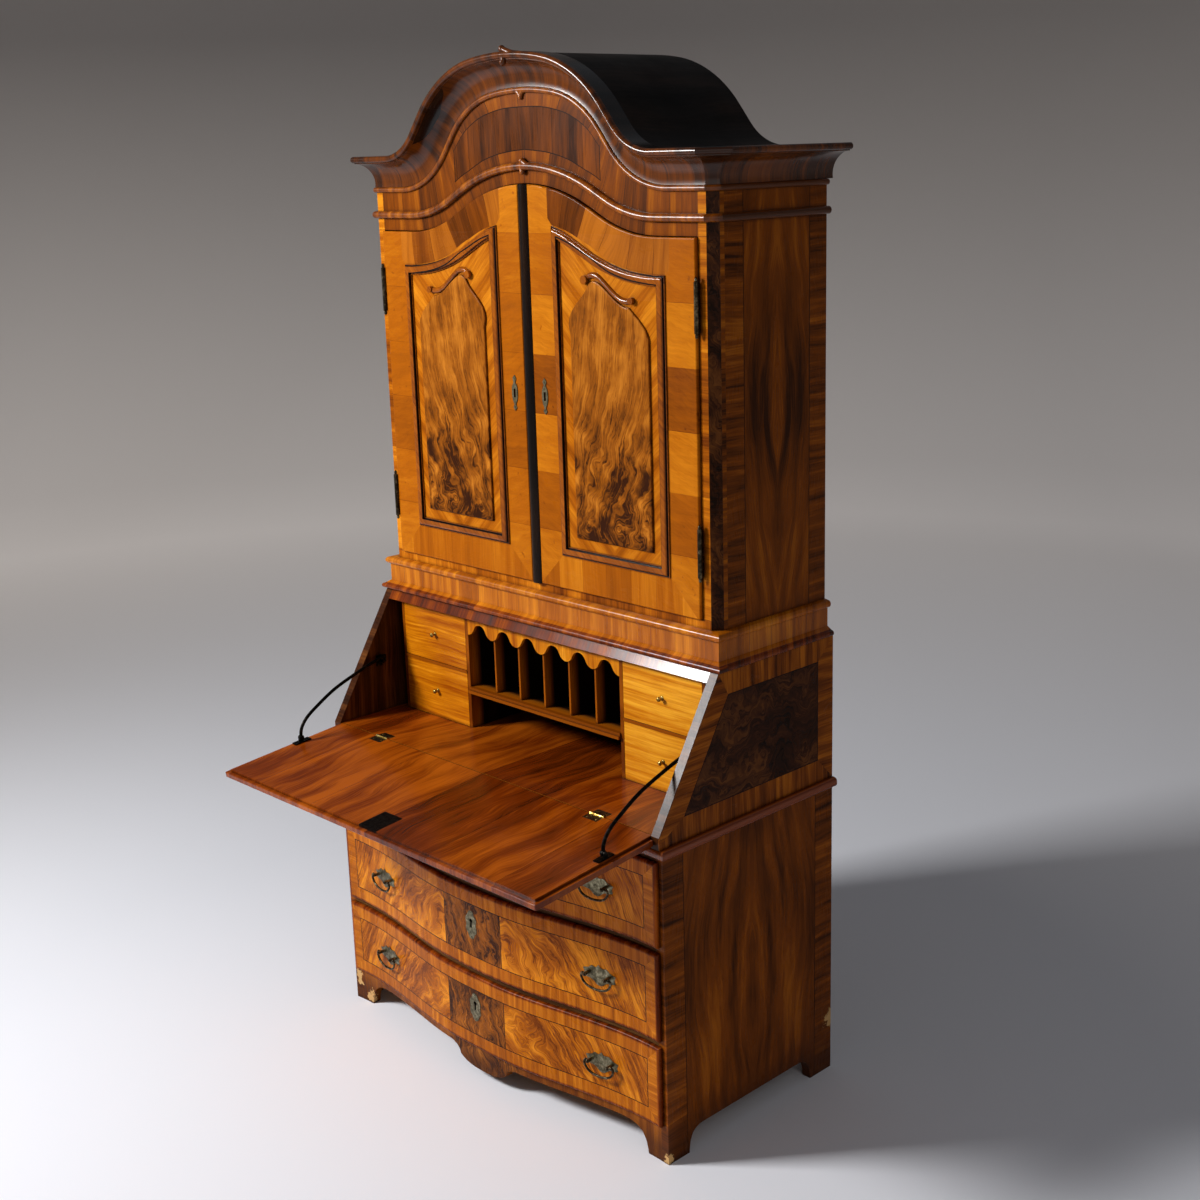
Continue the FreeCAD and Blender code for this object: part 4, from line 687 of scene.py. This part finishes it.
def fall_veneer():
    """Polished walnut fall: boards to write on, and figured veneer in cross-banding on its outer face."""
    band = sizes().desk_band
    low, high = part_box("fall_flap")
    material, _, axes = begin("polished_walnut_veneer_fall")
    value, shade = boards(axes)
    across = add("Math.ABSOLUTE", axes[0])
    from_side = add("Math.SUBTRACT", high.x, across)
    off = from_middle(axes[1], (low.y + high.y) / 2)
    from_end = add("Math.SUBTRACT", (high.y - low.y) / 2, off)
    folded = add("CombineXYZ", across, axes[2], axes[1])
    outer = stain(figure(folded, 5.1, 120.0, 0.1, 0.4), *FLAME)
    side_grain = grain(axes[1], axes[0], 9.0, BAND_GRAIN_MM)
    end_grain = grain(axes[0], axes[1], 7.0, BAND_GRAIN_MM)
    outer = cross_banded(outer, from_side, from_end, side_grain, end_grain, band)[0]
    facing = add("SeparateXYZ", add("TexCoord", tree=material.node_tree, out=1), out=2)
    shade = lay_over(shade, (add("Math.LESS_THAN", facing, -FACING), outer))
    return polish(material, shade, value, POLISHED_BOARD)


def small_drawer_veneer():
    """Polished honey-coloured walnut with a level flame: painted shade on the left drawers, painted light on
    the right.
    """
    material, _, axes = begin("polished_flame_walnut")
    value = grain(axes[2], axes[0], 6.0, 10.0, 10.0)
    # Painted light and shade: darker on the left-hand drawers, lighter on the right-hand ones, as the lamp
    # falls
    painted_light = add("MapRange", axes[0], *PAINTED_LIGHT_SPAN, -0.06, 0.06)
    shade = stain(add("Math", value, painted_light), *SMALL_FRONTS)
    return polish(material, shade, value)


def nest_wood():
    """Polished walnut of the nest's edges, with painted shade darkening the insides behind them."""
    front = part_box("nest_partitions")[0].y
    material, _, axes = begin("polished_walnut_nest")
    value = grain(axes[1], axes[2], 9.0, 22.0)
    # Painted shade: away from the front edges the insides take the dark soot tones
    inner = add("MapRange", add("Math.SUBTRACT", axes[1], front), *NEST_EDGE, 0.0, 1.0)
    shade = lay_over(stain(value, *NEST_EDGES), (inner, stain(value, "soot")))
    return polish(material, shade, value, RUBBED_NEST)


def panel_edges(axes, sign):
    """A door's own x, the distance from its panel's middle, those out from the panel beside it, below it and
    over its arched head, and the place along that arch."""
    low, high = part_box("right_door_mouldings")
    across = add("Math.MULTIPLY", axes[0], float(sign))
    off = from_middle(across, (low.x + high.x) / 2)
    beside = add("Math.SUBTRACT", off, (high.x - low.x) / 2)
    below = add("Math.SUBTRACT", low.z, axes[2])
    over, along = over_arch(axes, DOOR_ARCH)
    return across, off, (beside, below, add("Math", over, PANEL_DROP)), along


def door_veneer(side, sign):
    """Polished walnut of a door: mitred blocks round a chevron-banded panel, and plain veneer inside."""
    speck_mm = 18
    material, place, axes = begin(f"polished_walnut_veneer_{side}_door")
    across, off, (beside, below, above), along = panel_edges(axes, sign)
    turned = add("CombineXYZ", axes[2], axes[1], across)
    mottle = add("Math.MULTIPLY", figure(turned, 3.0 + sign, 70.0, 0.035), 0.6)
    specks = add("TexNoise", place, 1000 / speck_mm, 2.0, 0.5)
    mottle = add("Math", mottle, add("MapRange", specks, 0.68, 0.76, 0.0, -0.3))
    plain = grain(axes[2], across, 4.0 + sign, 15.0, 10.0)
    mottled = add("Math.MULTIPLY_ADD", plain, 0.4, mottle)
    stile = laid(axes[2], sizes().stile_block, sign, mottled, 0.5)
    rail = blocks(across, axes[2], sizes().rail_block, (3.0 + sign, 6.0), 18.0, 0.4)
    head = blocks(along, above, sizes().head_block, (5.0 + sign, 9.0 + sign), 26.0, 0.5, 30.0)
    chevron = add("Math.SUBTRACT", axes[2], off)
    counter = add("Math", axes[2], off)
    edge = most(beside, 0.0)
    in_rail = add("Math.GREATER_THAN", below, edge)
    at_corner = add("Math.GREATER_THAN", beside, HEAD_CORNER)
    in_head = add("Math.GREATER_THAN", above, add("Math", edge, at_corner))
    facing = add("SeparateXYZ", add("TexCoord", tree=material.node_tree, out=1), out=1)
    inner = grain(across, axes[2], 15.0 + sign, 40.0, 40.0)
    shade = lay_over(
        stain(grain(chevron, counter, 2.0, 34.0, 8.0), *CHEVRONS),
        (add("Math.GREATER_THAN", beside, 0.0), stain(stile, *DOOR_BLOCKS)),
        (in_rail, stain(rail, *DOOR_BLOCKS)),
        (in_head, stain(head, *DOOR_HEAD)),
        (add("Math.GREATER_THAN", facing, FACING), stain(inner, *DOOR_INSIDE)),
    )
    return polish(material, shade, stile)


def field_veneer():
    """Polished walnut burl of the raised fields, book-matched on the doors and darker towards their feet."""
    cloud_mm = 75
    burl_low, burl_high = (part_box("right_door_field")[0].z + rise for rise in FIELD_BURL_RISE)
    material, _, axes = begin("polished_walnut_burl_field")
    folded = add("CombineXYZ", add("Math.ABSOLUTE", axes[0]), axes[1], axes[2])
    foot = add("MapRange", axes[2], burl_low, burl_high, 1.0, 0.0)
    swirl = add("Math.MULTIPLY_ADD", foot, 0.11, 0.01)
    knots = figure(folded, 1.3, 66.0, swirl, -0.12)
    gain = add("Math.MULTIPLY_ADD", foot, 0.5, 0.6)
    figured = add("Math.MULTIPLY", add("Math.SUBTRACT", knots, 0.5), gain)
    cloud = add("Math.SUBTRACT", add("TexNoise", folded, 1000 / cloud_mm, 4.0, 0.6), 0.5)
    deep = add("Math.MULTIPLY_ADD", foot, 0.45, 0.1)
    tone = add("Math.MULTIPLY_ADD", foot, -0.08, 0.48)
    value = add("Math", figured, add("Math.MULTIPLY_ADD", cloud, deep, tone))
    return polish(material, stain(value, *FIELD_BURL), value)


def panel_moulding_wood(side, sign):
    """Polished cross-grained walnut round the panels, with dark fillets at both its edges."""
    block = sizes().cove_block
    material, _, axes = begin(f"polished_walnut_{side}_panel_moulding")
    out = most(*panel_edges(axes, sign)[2])
    run = add("Math", axes[0], axes[2])
    value = blocks(run, out, block, (2.0, 5.0), 14.0, 0.12)
    from_line = from_middle(out, -MOULDING_MIDDLE)
    fillet = add("Math.COMPARE", from_line, FILLET_PLACE, FILLET_HALF_WIDTH)
    shade = lay_over(stain(value, *PANEL_MOULDING), (fillet, wood("dark_line_and_shade")))
    return polish(material, shade, value, POLISHED_PANEL_MOULDING)


def cornice_wood():
    """Polished walnut cornice: cross-grained blocks square to its arch, and a dark top behind the nose."""
    block = sizes().cove_block
    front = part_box("frieze")[0].y
    low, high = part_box("cornice")
    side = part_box("cabinet_sides")[1].x
    material, _, axes = begin("polished_walnut_cornice")
    over, along = over_arch(axes, CORNICE_ARCH)
    back = most(add("Math.SUBTRACT", axes[1], front), 0.0)
    run = add("Math", least(along, side), back)
    value = blocks(run, over, block, (7.0, 7.0), 22.0, 0.16)
    behind = add("Math.GREATER_THAN", axes[1], low.y + CORNICE_RIM)
    beside = add("Math.LESS_THAN", add("Math.ABSOLUTE", axes[0]), high.x - CORNICE_RIM)
    top = add("Math.GREATER_THAN", over, CORNICE_HEIGHT - CORNICE_SKIN)
    dark = least(behind, beside, top)
    shade = lay_over(stain(value, *CORNICE_BLOCKS), (dark, stain(value, "soot")))
    return polish(material, shade, value, POLISHED_CORNICE)


def frieze_veneer():
    """Polished walnut frieze: a brown shaped panel in stringing, within lighter cross-grained veneer."""
    block = sizes().cove_block
    material, _, axes = begin("polished_walnut_veneer_frieze")
    under = over_arch(axes, CORNICE_ARCH)[0]
    over, along = over_arch(axes, DOOR_ARCH)
    down = add("Math.SUBTRACT", -FRIEZE_DROP, under)
    up = add("Math.SUBTRACT", over, FRIEZE_RISE)
    end = add("Math.SUBTRACT", FRIEZE_REACH, add("Math.ABSOLUTE", axes[0]))
    inside = least(down, up, end)
    border = blocks(along, over, block, (3.0, 4.0), 22.0, 0.12)
    panel = blocks(axes[0], axes[2], FRIEZE_LEAF, (8.0, 12.0), 30.0, 0.12)
    in_panel = add("Math.GREATER_THAN", inside, FRIEZE_BORDER_WIDTH)
    shade = lay_over(stain(border, *FRIEZE_BORDER), (in_panel, stain(panel, *FRIEZE_PANEL)))
    shade = inlay_line(inside, FRIEZE_BORDER_WIDTH, shade)
    return polish(material, shade, border)


def cross_moulding_wood(name, levels):
    """Polished walnut moulding in cross-grained blocks, with reddish rounds at the given levels."""
    block = sizes().cove_block
    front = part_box("frieze")[0].y
    material, _, axes = begin(name)
    back = most(add("Math.SUBTRACT", axes[1], front), 0.0)
    run = add("Math", axes[0], back)
    value = blocks(run, axes[2], block, (7.0, 7.0), 20.0, 0.16)
    shade = stain(value, *BANDING)
    for low, high in levels:
        mask = add("Math.COMPARE", axes[2], (low + high) / 2, (high - low) / 2)
        shade = lay_over(shade, (mask, stain(value, "rosy")))
    return polish(material, shade, value, WAXED_BLOCKS)


def face_frame_veneer():
    """Polished walnut frame: golden blocks on the front, and burl darkened as painted shade on the canted
    corners.
    """
    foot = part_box("face_frame")[0].z
    material, place, axes = begin("polished_walnut_veneer_frame")
    normal = add("SeparateXYZ", add("TexCoord", tree=material.node_tree, out=1))
    facing = add("Math.ABSOLUTE", normal)
    stile = blocks(axes[2], axes[0], sizes().stile_block, (7.0, 11.0), 26.0, 0.16)
    rail = blocks(axes[0], axes[2], sizes().rail_block, (9.0, 13.0), 26.0, 0.16)
    in_rail = add("Math.LESS_THAN", axes[2], foot + RAIL_HEIGHT)
    value = add("Mix", in_rail, stile, rail)
    burl = stain(figure(place, 3.0, 40.0, 0.05), *POST_BURL)
    # Painted shade: the canted corners take the darkest burl tones
    canted = add("Math.COMPARE", facing, *CANTED_FACING)
    beside = add("Math.GREATER_THAN", facing, SIDE_FACING)
    shade = lay_over(stain(value, "amber"), (canted, burl), (beside, stain(stile, "walnut")))
    return polish(material, shade, value)


def metal(name, kind, size_mm, smooth, dull):
    """Old metal: dark patina in its hollows over a body that hands have rubbed lighter."""
    pit_depth_mm = 0.12
    material, place, _ = begin(name)
    cloud = add("TexNoise", place, 1000 / size_mm, 6.0, 0.65)
    pits = add("TexNoise", place, 3500 / size_mm, 3.0, 0.6)
    shade = stain(cloud, kind, *RUBBED, bpy.context.scene.escritoire_metals)
    rough = add("MapRange", cloud, 0.3, 0.7, dull, smooth)
    bump = add("Bump", 0.4, pit_depth_mm / 1000, None, pits)
    return finish_surface(material, shade, rough, metallic=1.0, normal=bump)


def door_fitting_brass():
    """Cast brass on the doors: grey patina on the escutcheons, and hinges dark with old polish."""
    metals = bpy.context.scene.escritoire_metals
    material, place, axes = begin("patinated_cast_brass_door")
    cloud = add("TexNoise", place, 1000 / BRASS_CLOUD_MM, 6.0, 0.65)
    outer = add("Math.GREATER_THAN", add("Math.ABSOLUTE", axes[0]), HINGE_FROM)
    grey = stain(cloud, "plate", *RUBBED, metals)
    shade = lay_over(grey, (outer, stain(cloud, "bail", *RUBBED, metals)))
    rough = add("MapRange", cloud, 0.3, 0.7, 0.5, 0.28)
    return finish_surface(material, shade, rough, metallic=1.0)


def hinge_leaf_brass():
    """Brass butt hinges of the fall: leaves dark with old polish, barrels rubbed bright."""
    metals = bpy.context.scene.escritoire_metals
    axis_y = JOINTS["fall_hinge"]["pos_m"][1]
    material, place, axes = begin("rubbed_cast_brass_hinge")
    cloud = add("TexNoise", place, 1000 / BRASS_CLOUD_MM, 6.0, 0.65)
    barrel = add("Math.COMPARE", axes[1], axis_y, BARREL_RADIUS)
    leaf = stain(cloud, "plate", source=metals)
    shade = lay_over(leaf, (barrel, stain(cloud, "bright", source=metals)))
    rough = add("MapRange", cloud, 0.3, 0.7, 0.42, 0.2)
    return finish_surface(material, shade, rough, metallic=1.0)


def welded(name, shape, material, gap):
    """Turns a finished bmesh into a smooth object in the scene, its points welded over a gap."""
    bmesh.ops.remove_doubles(shape, verts=shape.verts[:], dist=gap)
    bmesh.ops.recalc_face_normals(shape, faces=shape.faces[:])
    for face in shape.faces:
        face.smooth = True
    mesh = bpy.data.meshes.new(name)
    shape.to_mesh(mesh)
    shape.free()
    mesh.materials.append(material)
    made = bpy.data.objects.new(name, mesh)
    bpy.context.scene.collection.objects.link(made)
    return made


def piece(name, shape, material, body):
    """Turns a finished bmesh into a piece that rides on a body and takes its finish from a slot."""
    made = welded(name, shape, material, PIECE_WELD)
    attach(made, body)
    return made


def full_turn(shape, geom, steps):
    """Turns points and edges once round the z axis."""
    cent = (0.0, 0.0, 0.0)
    bmesh.ops.spin(shape, geom=geom, cent=cent, axis=UP, angle=math.tau, steps=steps, use_merge=True)


def turn_on(shape, profile_mm, base, out, steps):
    """Turns a profile of (radius, height) points in millimetres round an axis that leaves base along out."""
    place = Matrix.Translation(base) @ Vector(out).to_track_quat("Z", "Y").to_matrix().to_4x4()
    verts = [shape.verts.new((radius / 1000, 0.0, height / 1000)) for radius, height in profile_mm]
    edges = [shape.edges.new(pair) for pair in zip(verts, verts[1:])]
    before = set(shape.verts) - set(verts)
    full_turn(shape, verts + edges, steps)
    bmesh.ops.transform(shape, matrix=place, verts=[v for v in shape.verts if v not in before])


class ESCRITOIRE_OT_chest(bpy.types.Operator):
    """Veneers the chest and its drawers"""

    bl_idname = "escritoire.chest"
    bl_label = "Chest veneers"

    def execute(self, context):
        band = context.scene.escritoire_sizes.chest_band
        for i, drawer in enumerate(LARGE_DRAWERS):
            dress(drawer_front_veneer(drawer, 2.0 + 3.7 * i), f"{drawer}_drawer_front")
        side = side_veneer("polished_walnut_veneer_chest_side", "chest_sides", 3.0, band, banded_top=False)
        dress(side, "chest_sides")
        top = veneer("polished_walnut_chest_moulding", 0, 2, 2.0, "rosy", 30.0, POLISHED_CHEST_TOP)
        dress(top, "chest_top")
        dress(apron_veneer(), "apron")
        boxes = [f"{drawer}_drawer_box" for drawer in LARGE_DRAWERS]
        dress(veneer("planed_pine_inside", 2, 0, 7.0, "pine", 20.0, PLANED_BOX), "dust_boards", *boxes)
        dress(veneer("planed_pine_back", 0, 2, 8.0, "pine", 40.0, PLANED_BACK), "back_boards")
        return {"FINISHED"}


class ESCRITOIRE_OT_desk(bpy.types.Operator):
    """Veneers the desk, its fall and its nest of drawers"""

    bl_idname = "escritoire.desk"
    bl_label = "Desk veneers"

    def execute(self, context):
        dress(desk_side_veneer(), "desk_sides")
        dress(writing_board_wood(), "writing_bed")
        dress(fall_veneer(), "fall_flap")
        dress(veneer("polished_walnut_desk_top", 0, 2, 4.0, "rosy", 40.0, POLISHED_DESK_TOP), "desk_top")
        dress(small_drawer_veneer(), *SMALL_DRAWERS)
        dress(veneer("polished_walnut_valance", 0, 2, 4.0, "honey", 24.0), "pigeonhole_valance")
        dress(nest_wood(), "nest_partitions", "pigeonhole_case")
        return {"FINISHED"}


class ESCRITOIRE_OT_cabinet(bpy.types.Operator):
    """Veneers the cabinet, its doors, mouldings and roof"""

    bl_idname = "escritoire.cabinet"
    bl_label = "Cabinet veneers"

    def execute(self, context):
        band = context.scene.escritoire_sizes.cabinet_band
        field = field_veneer()
        for side, sign in zip(SIDES, SIGNS):
            dress(door_veneer(side, sign), f"{side}_door")
            dress(field, f"{side}_door_field")
            dress(panel_moulding_wood(side, sign), f"{side}_door_mouldings")
        moulding = veneer("polished_walnut_frieze_moulding", 0, 2, 5.0, "walnut", 18.0, WAXED_MOULDING)
        dress(moulding, "frieze_mouldings")
        dress(cornice_wood(), "cornice")
        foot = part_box("waist")[0].z
        dress(cross_moulding_wood("polished_walnut_waist_moulding", [(foot, foot + WAIST_NOSE)]), "waist")
        dress(cross_moulding_wood("polished_walnut_plinth_moulding", ()), "cabinet_plinth")
        side = side_veneer("polished_walnut_veneer_cabinet_side", "cabinet_sides", 6.0, band, banded_top=True)
        dress(side, "cabinet_sides")
        dress(face_frame_veneer(), "face_frame")
        dress(frieze_veneer(), "frieze")
        dress(veneer("planed_walnut_shelf", 1, 0, 14.0, "walnut", 30.0, PLANED_SHELF), "cabinet_boards")
        dress(veneer("stained_pine_roof", 0, 1, 15.0, "soot", 40.0, PLANED_ROOF), "roof")
        dress(veneer("ebonised_pear_wood", 0, 2, 16.0, "soot", 20.0, EBONISED), "astragal")
        return {"FINISHED"}


class ESCRITOIRE_OT_metalwork(bpy.types.Operator):
    """Gives the brass and the iron their patina, and adds knobs, finials, screws and pins"""

    bl_idname = "escritoire.metalwork"
    bl_label = "Metalwork"

    def execute(self, context):
        brass = metal("patinated_cast_brass", "plate", BRASS_CLOUD_MM, 0.3, 0.55)
        dark = metal("darkened_cast_brass", "bail", 7.0, 0.26, 0.5)
        bright = metal("rubbed_turned_brass", "bright", 6.0, 0.2, 0.42)
        iron = metal("blackened_wrought_iron", "iron", 8.0, 0.36, 0.6)
        dress(brass, *[f"{drawer}_drawer_fittings" for drawer in LARGE_DRAWERS])
        dress(door_fitting_brass(), *[f"{side}_door_fittings" for side in SIDES], "frame_hinge_halves")
        dress(dark, *[f"{drawer}_drawer_{side}_bail" for drawer in LARGE_DRAWERS for side in SIDES])
        dress(hinge_leaf_brass(), "desk_hinge_leaves", "fall_hinge_leaves")
        dress(iron, "fall_ironwork", "left_stay", "right_stay", "stay_pegs")
        for drawer in SMALL_DRAWERS:
            self.add_knob(drawer, bright)
        for drawer in LARGE_DRAWERS:
            self.add_drawer_trim(drawer, dark)
        self.add_hinge_acorns(dark)
        self.add_door_pins(dark)
        self.add_desk_screws(bright, iron)
        return {"FINISHED"}

    def add_knob(self, drawer, material):
        low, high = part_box(f"{drawer}_knob")
        shape = bmesh.new()
        at = ((low.x + high.x) / 2, high.y, (low.z + high.z) / 2)
        turn_on(shape, KNOB_PROFILE, at, FORWARD, KNOB_STEPS)
        knob = piece(f"{drawer}_turned_knob", shape, material, drawer)
        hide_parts(f"{drawer}_knob")

    def add_drawer_trim(self, drawer, material):
        """Domed finials on the handle posts and pins in the escutcheon."""
        shape = bmesh.new()
        for side in SIDES:
            joint = JOINTS[f"{drawer}_{side}_bail_pivot"]
            pivot, axis = Vector(joint["pos_m"]), Vector(joint["axis"])
            out = axis.cross(UP) * -1
            if out.y > 0:
                out = -out
            for sign in SIGNS:
                at = pivot + axis * sign * POST_OFFSET + out * POST_REACH
                turn_on(shape, FINIAL_PROFILE, at, out, FINIAL_STEPS)
        low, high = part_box(f"{drawer}_drawer_front")
        for sign in SIGNS:
            level = (low.z + high.z) / 2 + KEY_RISE + sign * PIN_SHARE * KEY_HALF_HEIGHT
            turn_on(shape, PIN_PROFILE, (0.0, low.y - PIN_PROUD, level), FORWARD, PIN_STEPS)
        piece(f"{drawer}_drawer_finials", shape, material, f"{drawer}_drawer")

    def add_hinge_acorns(self, material):
        """Acorns on the ends of the door hinges; the upper ones ride on the doors."""
        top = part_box("right_door_fittings")[1].z
        still = bmesh.new()
        for side in SIDES:
            x, y, lower = JOINTS[f"{side}_door_hinge"]["pos_m"]
            riding = bmesh.new()
            for level in (lower, top - HINGE_HALF_LENGTH):
                turn_on(riding, ACORN_PROFILE, (x, y, level + HINGE_HALF_LENGTH), UP, ACORN_STEPS)
                turn_on(still, ACORN_PROFILE, (x, y, level - HINGE_HALF_LENGTH), -UP, ACORN_STEPS)
            piece(f"{side}_door_hinge_acorns", riding, material, f"{side}_door")
        piece("frame_hinge_acorns", still, material, "carcass")

    def add_door_pins(self, material):
        """Pins at both ends of the doors' escutcheons."""
        for side, sign in zip(SIDES, SIGNS):
            shape = bmesh.new()
            for rise in (-DOOR_PIN_RISE, DOOR_PIN_RISE):
                at = (sign * DOOR_KEY[0], DOOR_KEY[1], DOOR_KEY[2] + rise)
                turn_on(shape, PIN_PROFILE, at, FORWARD, PIN_STEPS)
            piece(f"{side}_door_pins", shape, material, f"{side}_door")

    def add_desk_screws(self, brass, iron):
        """Screws in the hinge leaves, the lock plate and the feet of the stays."""
        level = Matrix.Translation(JOINTS["fall_hinge"]["pos_m"])
        droop = level @ Matrix.Rotation(FALL_DROOP, 4, "X")
        fall_up = droop.to_3x3() @ UP
        bed = bmesh.new()
        fall = bmesh.new()
        for sign in SIGNS:
            for step in (-LEAF_SCREW_STEP, LEAF_SCREW_STEP):
                reach = Vector((sign * LEAF_PLACE + step, LEAF_SCREW_REACH, 0.0))
                turn_on(bed, SCREW_PROFILE, level @ reach, UP, PIN_STEPS)
                reach.y = -LEAF_SCREW_REACH
                turn_on(fall, SCREW_PROFILE, droop @ reach, fall_up, PIN_STEPS)
        piece("bed_leaf_screws", bed, brass, "carcass")
        piece("fall_leaf_screws", fall, brass, "fall")
        places = []
        for sign in SIGNS:
            for reach in LOCK_SCREW_REACHES:
                places.append((sign * LOCK_SCREW_SIDE, reach - FALL_LENGTH, 0.0))
            for step in (-STAY_SCREW_STEP, STAY_SCREW_STEP):
                places.append((sign * STAY_FOOT.x, STAY_FOOT.y + step, STAY_FOOT.z))
        black = bmesh.new()
        for at in places:
            turn_on(black, SCREW_PROFILE, droop @ Vector(at), fall_up, PIN_STEPS)
        piece("fall_iron_screws", black, iron, "fall")


class ESCRITOIRE_OT_stage(bpy.types.Operator):
    """Sets the floor, backdrop, lights and camera"""

    bl_idname = "escritoire.stage"
    bl_label = "Stage"

    def execute(self, context):
        settings = context.scene.escritoire_stage
        self.set_ground(settings)
        self.set_lights(context, settings)
        self.set_camera(context, settings)
        return {"FINISHED"}

    def set_ground(self, settings):
        """Round paper sweep: a floor that curves up into a wall on every side."""
        shape = bmesh.new()
        line = [shape.verts.new((0.0, 0.0, 0.0)), shape.verts.new((SWEEP_FLAT, 0.0, 0.0))]
        shape.edges.new(line)
        bmesh.ops.spin(
            shape,
            geom=[line[1]],
            cent=(SWEEP_FLAT, 0.0, SWEEP_BEND),
            axis=FORWARD,
            angle=math.pi / 2,
            steps=BEND_STEPS,
            use_merge=False,
        )
        top = max(shape.verts, key=lambda vert: vert.co.z)
        raised = bmesh.ops.extrude_vert_indiv(shape, verts=[top])["verts"][0]
        raised.co.z = SWEEP_HEIGHT
        full_turn(shape, shape.verts[:] + shape.edges[:], SWEEP_STEPS)
        sweep = welded("studio_sweep", shape, self.paper(settings), SWEEP_WELD)
        if min(sweep.data.polygons, key=lambda face: face.center.length).normal.z < 0:
            sweep.data.flip_normals()

    def paper(self, settings):
        """Matt studio paper: pale on the floor, greyed by painted shade where it bends and rises, and a
        painted glow.
        """
        material, place, axes = begin("matt_studio_paper")
        outward = add("VectorMath.LENGTH", add("CombineXYZ", axes[0], axes[1]))
        # Painted shade: the paper turns from the floor colour to the top colour with distance and height
        far = add("MapRange", outward, *FADE_OUTWARD, 0.0, FADE_SHARES[0])
        high = add("MapRange", axes[2], *FADE_UPWARD, 0.0, FADE_SHARES[1])
        away = add("Math", far, high)
        fade = add("MapRange", away, 0.0, 1.0, 0.0, 1.0, interpolation_type="SMOOTHSTEP")
        shade = lay_over(opaque(settings.floor), (fade, opaque(settings.top)))
        fibre = add("TexNoise", place, 1000 / PAPER_FIBRE_MM, 3.0)
        rough = add("MapRange", fibre, 0.0, 1.0, 0.8, 1.0)
        # The glow is painted light, stronger towards the picture's left; it is for the eye and for
        # reflections, and lights nothing
        seen = most(*[add("LightPath", tree=material.node_tree, out=i) for i in LIGHT_PATH_SEEN])
        glows = [(0.0, (0.0, 0.0, 0.0, 1.0)), (0.5, opaque(settings.glow)), (1.0, opaque(settings.dim_glow))]
        glow = add("ValToRGB", away, stops=glows)
        aside = add("VectorMath.DOT_PRODUCT", place, PICTURE_RIGHT)
        bright = add("MapRange", aside, *GLOW_SPAN, *GLOW_SHARES)
        strength = add("Math.MULTIPLY", seen, bright)
        return finish_surface(material, shade, rough, emission_color=glow, emission_strength=strength)

    def set_lights(self, context, settings):
        world = bpy.data.worlds.new("studio_air")
        world.use_nodes = True
        back = world.node_tree.nodes["Background"]
        back.inputs["Color"].default_value = opaque(settings.sky)
        back.inputs["Strength"].default_value = settings.air
        context.scene.world = world
        self.hang(context, "key_light", settings.key_watts, KEY_LAMP)
        self.hang(context, "fill_light", settings.fill_watts, FILL_LAMP)

    def hang(self, context, name, watts, lamp):
        data = bpy.data.lights.new(name, "AREA")
        data.energy = watts
        data.size = lamp.size
        data.spread = lamp.spread
        made = bpy.data.objects.new(name, data)
        made.location = lamp.place
        made.rotation_euler = (lamp.aim - lamp.place).to_track_quat("-Z", "Y").to_euler()
        context.scene.collection.objects.link(made)

    def set_camera(self, context, settings):
        sine, cosine = math.sin(CAMERA_AZIMUTH), math.cos(CAMERA_AZIMUTH)
        level = math.cos(CAMERA_ELEVATION)
        ahead = Vector((-sine * level, cosine * level, -math.sin(CAMERA_ELEVATION)))
        right = Vector((cosine, sine, 0.0))
        up = right.cross(ahead)
        turned_right = right * math.cos(CAMERA_ROLL) + up * math.sin(CAMERA_ROLL)
        turned_up = up * math.cos(CAMERA_ROLL) - right * math.sin(CAMERA_ROLL)
        data = bpy.data.cameras.new("camera")
        data.lens = settings.lens_mm
        data.sensor_width = SENSOR_MM
        camera = bpy.data.objects.new("camera", data)
        turn = Matrix((turned_right, turned_up, -ahead)).transposed().to_4x4()
        camera.matrix_world = Matrix.Translation(CAMERA_PLACE) @ turn
        context.scene.collection.objects.link(camera)
        context.scene.camera = camera
        context.scene.view_settings.view_transform = "Standard"


class ESCRITOIRE_PT_panel(bpy.types.Panel):
    bl_label = "Escritoire"
    bl_idname = "ESCRITOIRE_PT_panel"
    bl_space_type = "VIEW_3D"
    bl_region_type = "UI"
    bl_category = "Escritoire"

    def draw(self, context):
        for operator in OPERATORS:
            self.layout.operator(operator.bl_idname)
        for group in GROUPS:
            settings = getattr(context.scene, GROUPS[group])
            for name in group.__annotations__:
                self.layout.prop(settings, name)


GROUPS = {
    EscritoireWoods: "escritoire_woods",
    EscritoireMetals: "escritoire_metals",
    EscritoireSizes: "escritoire_sizes",
    EscritoireStage: "escritoire_stage",
}
OPERATORS = (
    ESCRITOIRE_OT_chest,
    ESCRITOIRE_OT_desk,
    ESCRITOIRE_OT_cabinet,
    ESCRITOIRE_OT_metalwork,
    ESCRITOIRE_OT_stage,
)
CLASSES = tuple(GROUPS) + OPERATORS + (ESCRITOIRE_PT_panel,)


def register():
    for cls in CLASSES:
        bpy.utils.register_class(cls)
    for group, name in GROUPS.items():
        setattr(bpy.types.Scene, name, bpy.props.PointerProperty(type=group))


def unregister():
    for name in GROUPS.values():
        delattr(bpy.types.Scene, name)
    for cls in reversed(CLASSES):
        bpy.utils.unregister_class(cls)


def main():
    register()
    bpy.ops.escritoire.chest()
    bpy.ops.escritoire.desk()
    bpy.ops.escritoire.cabinet()
    bpy.ops.escritoire.metalwork()
    bpy.ops.escritoire.stage()


if __name__ == "__main__":
    main()
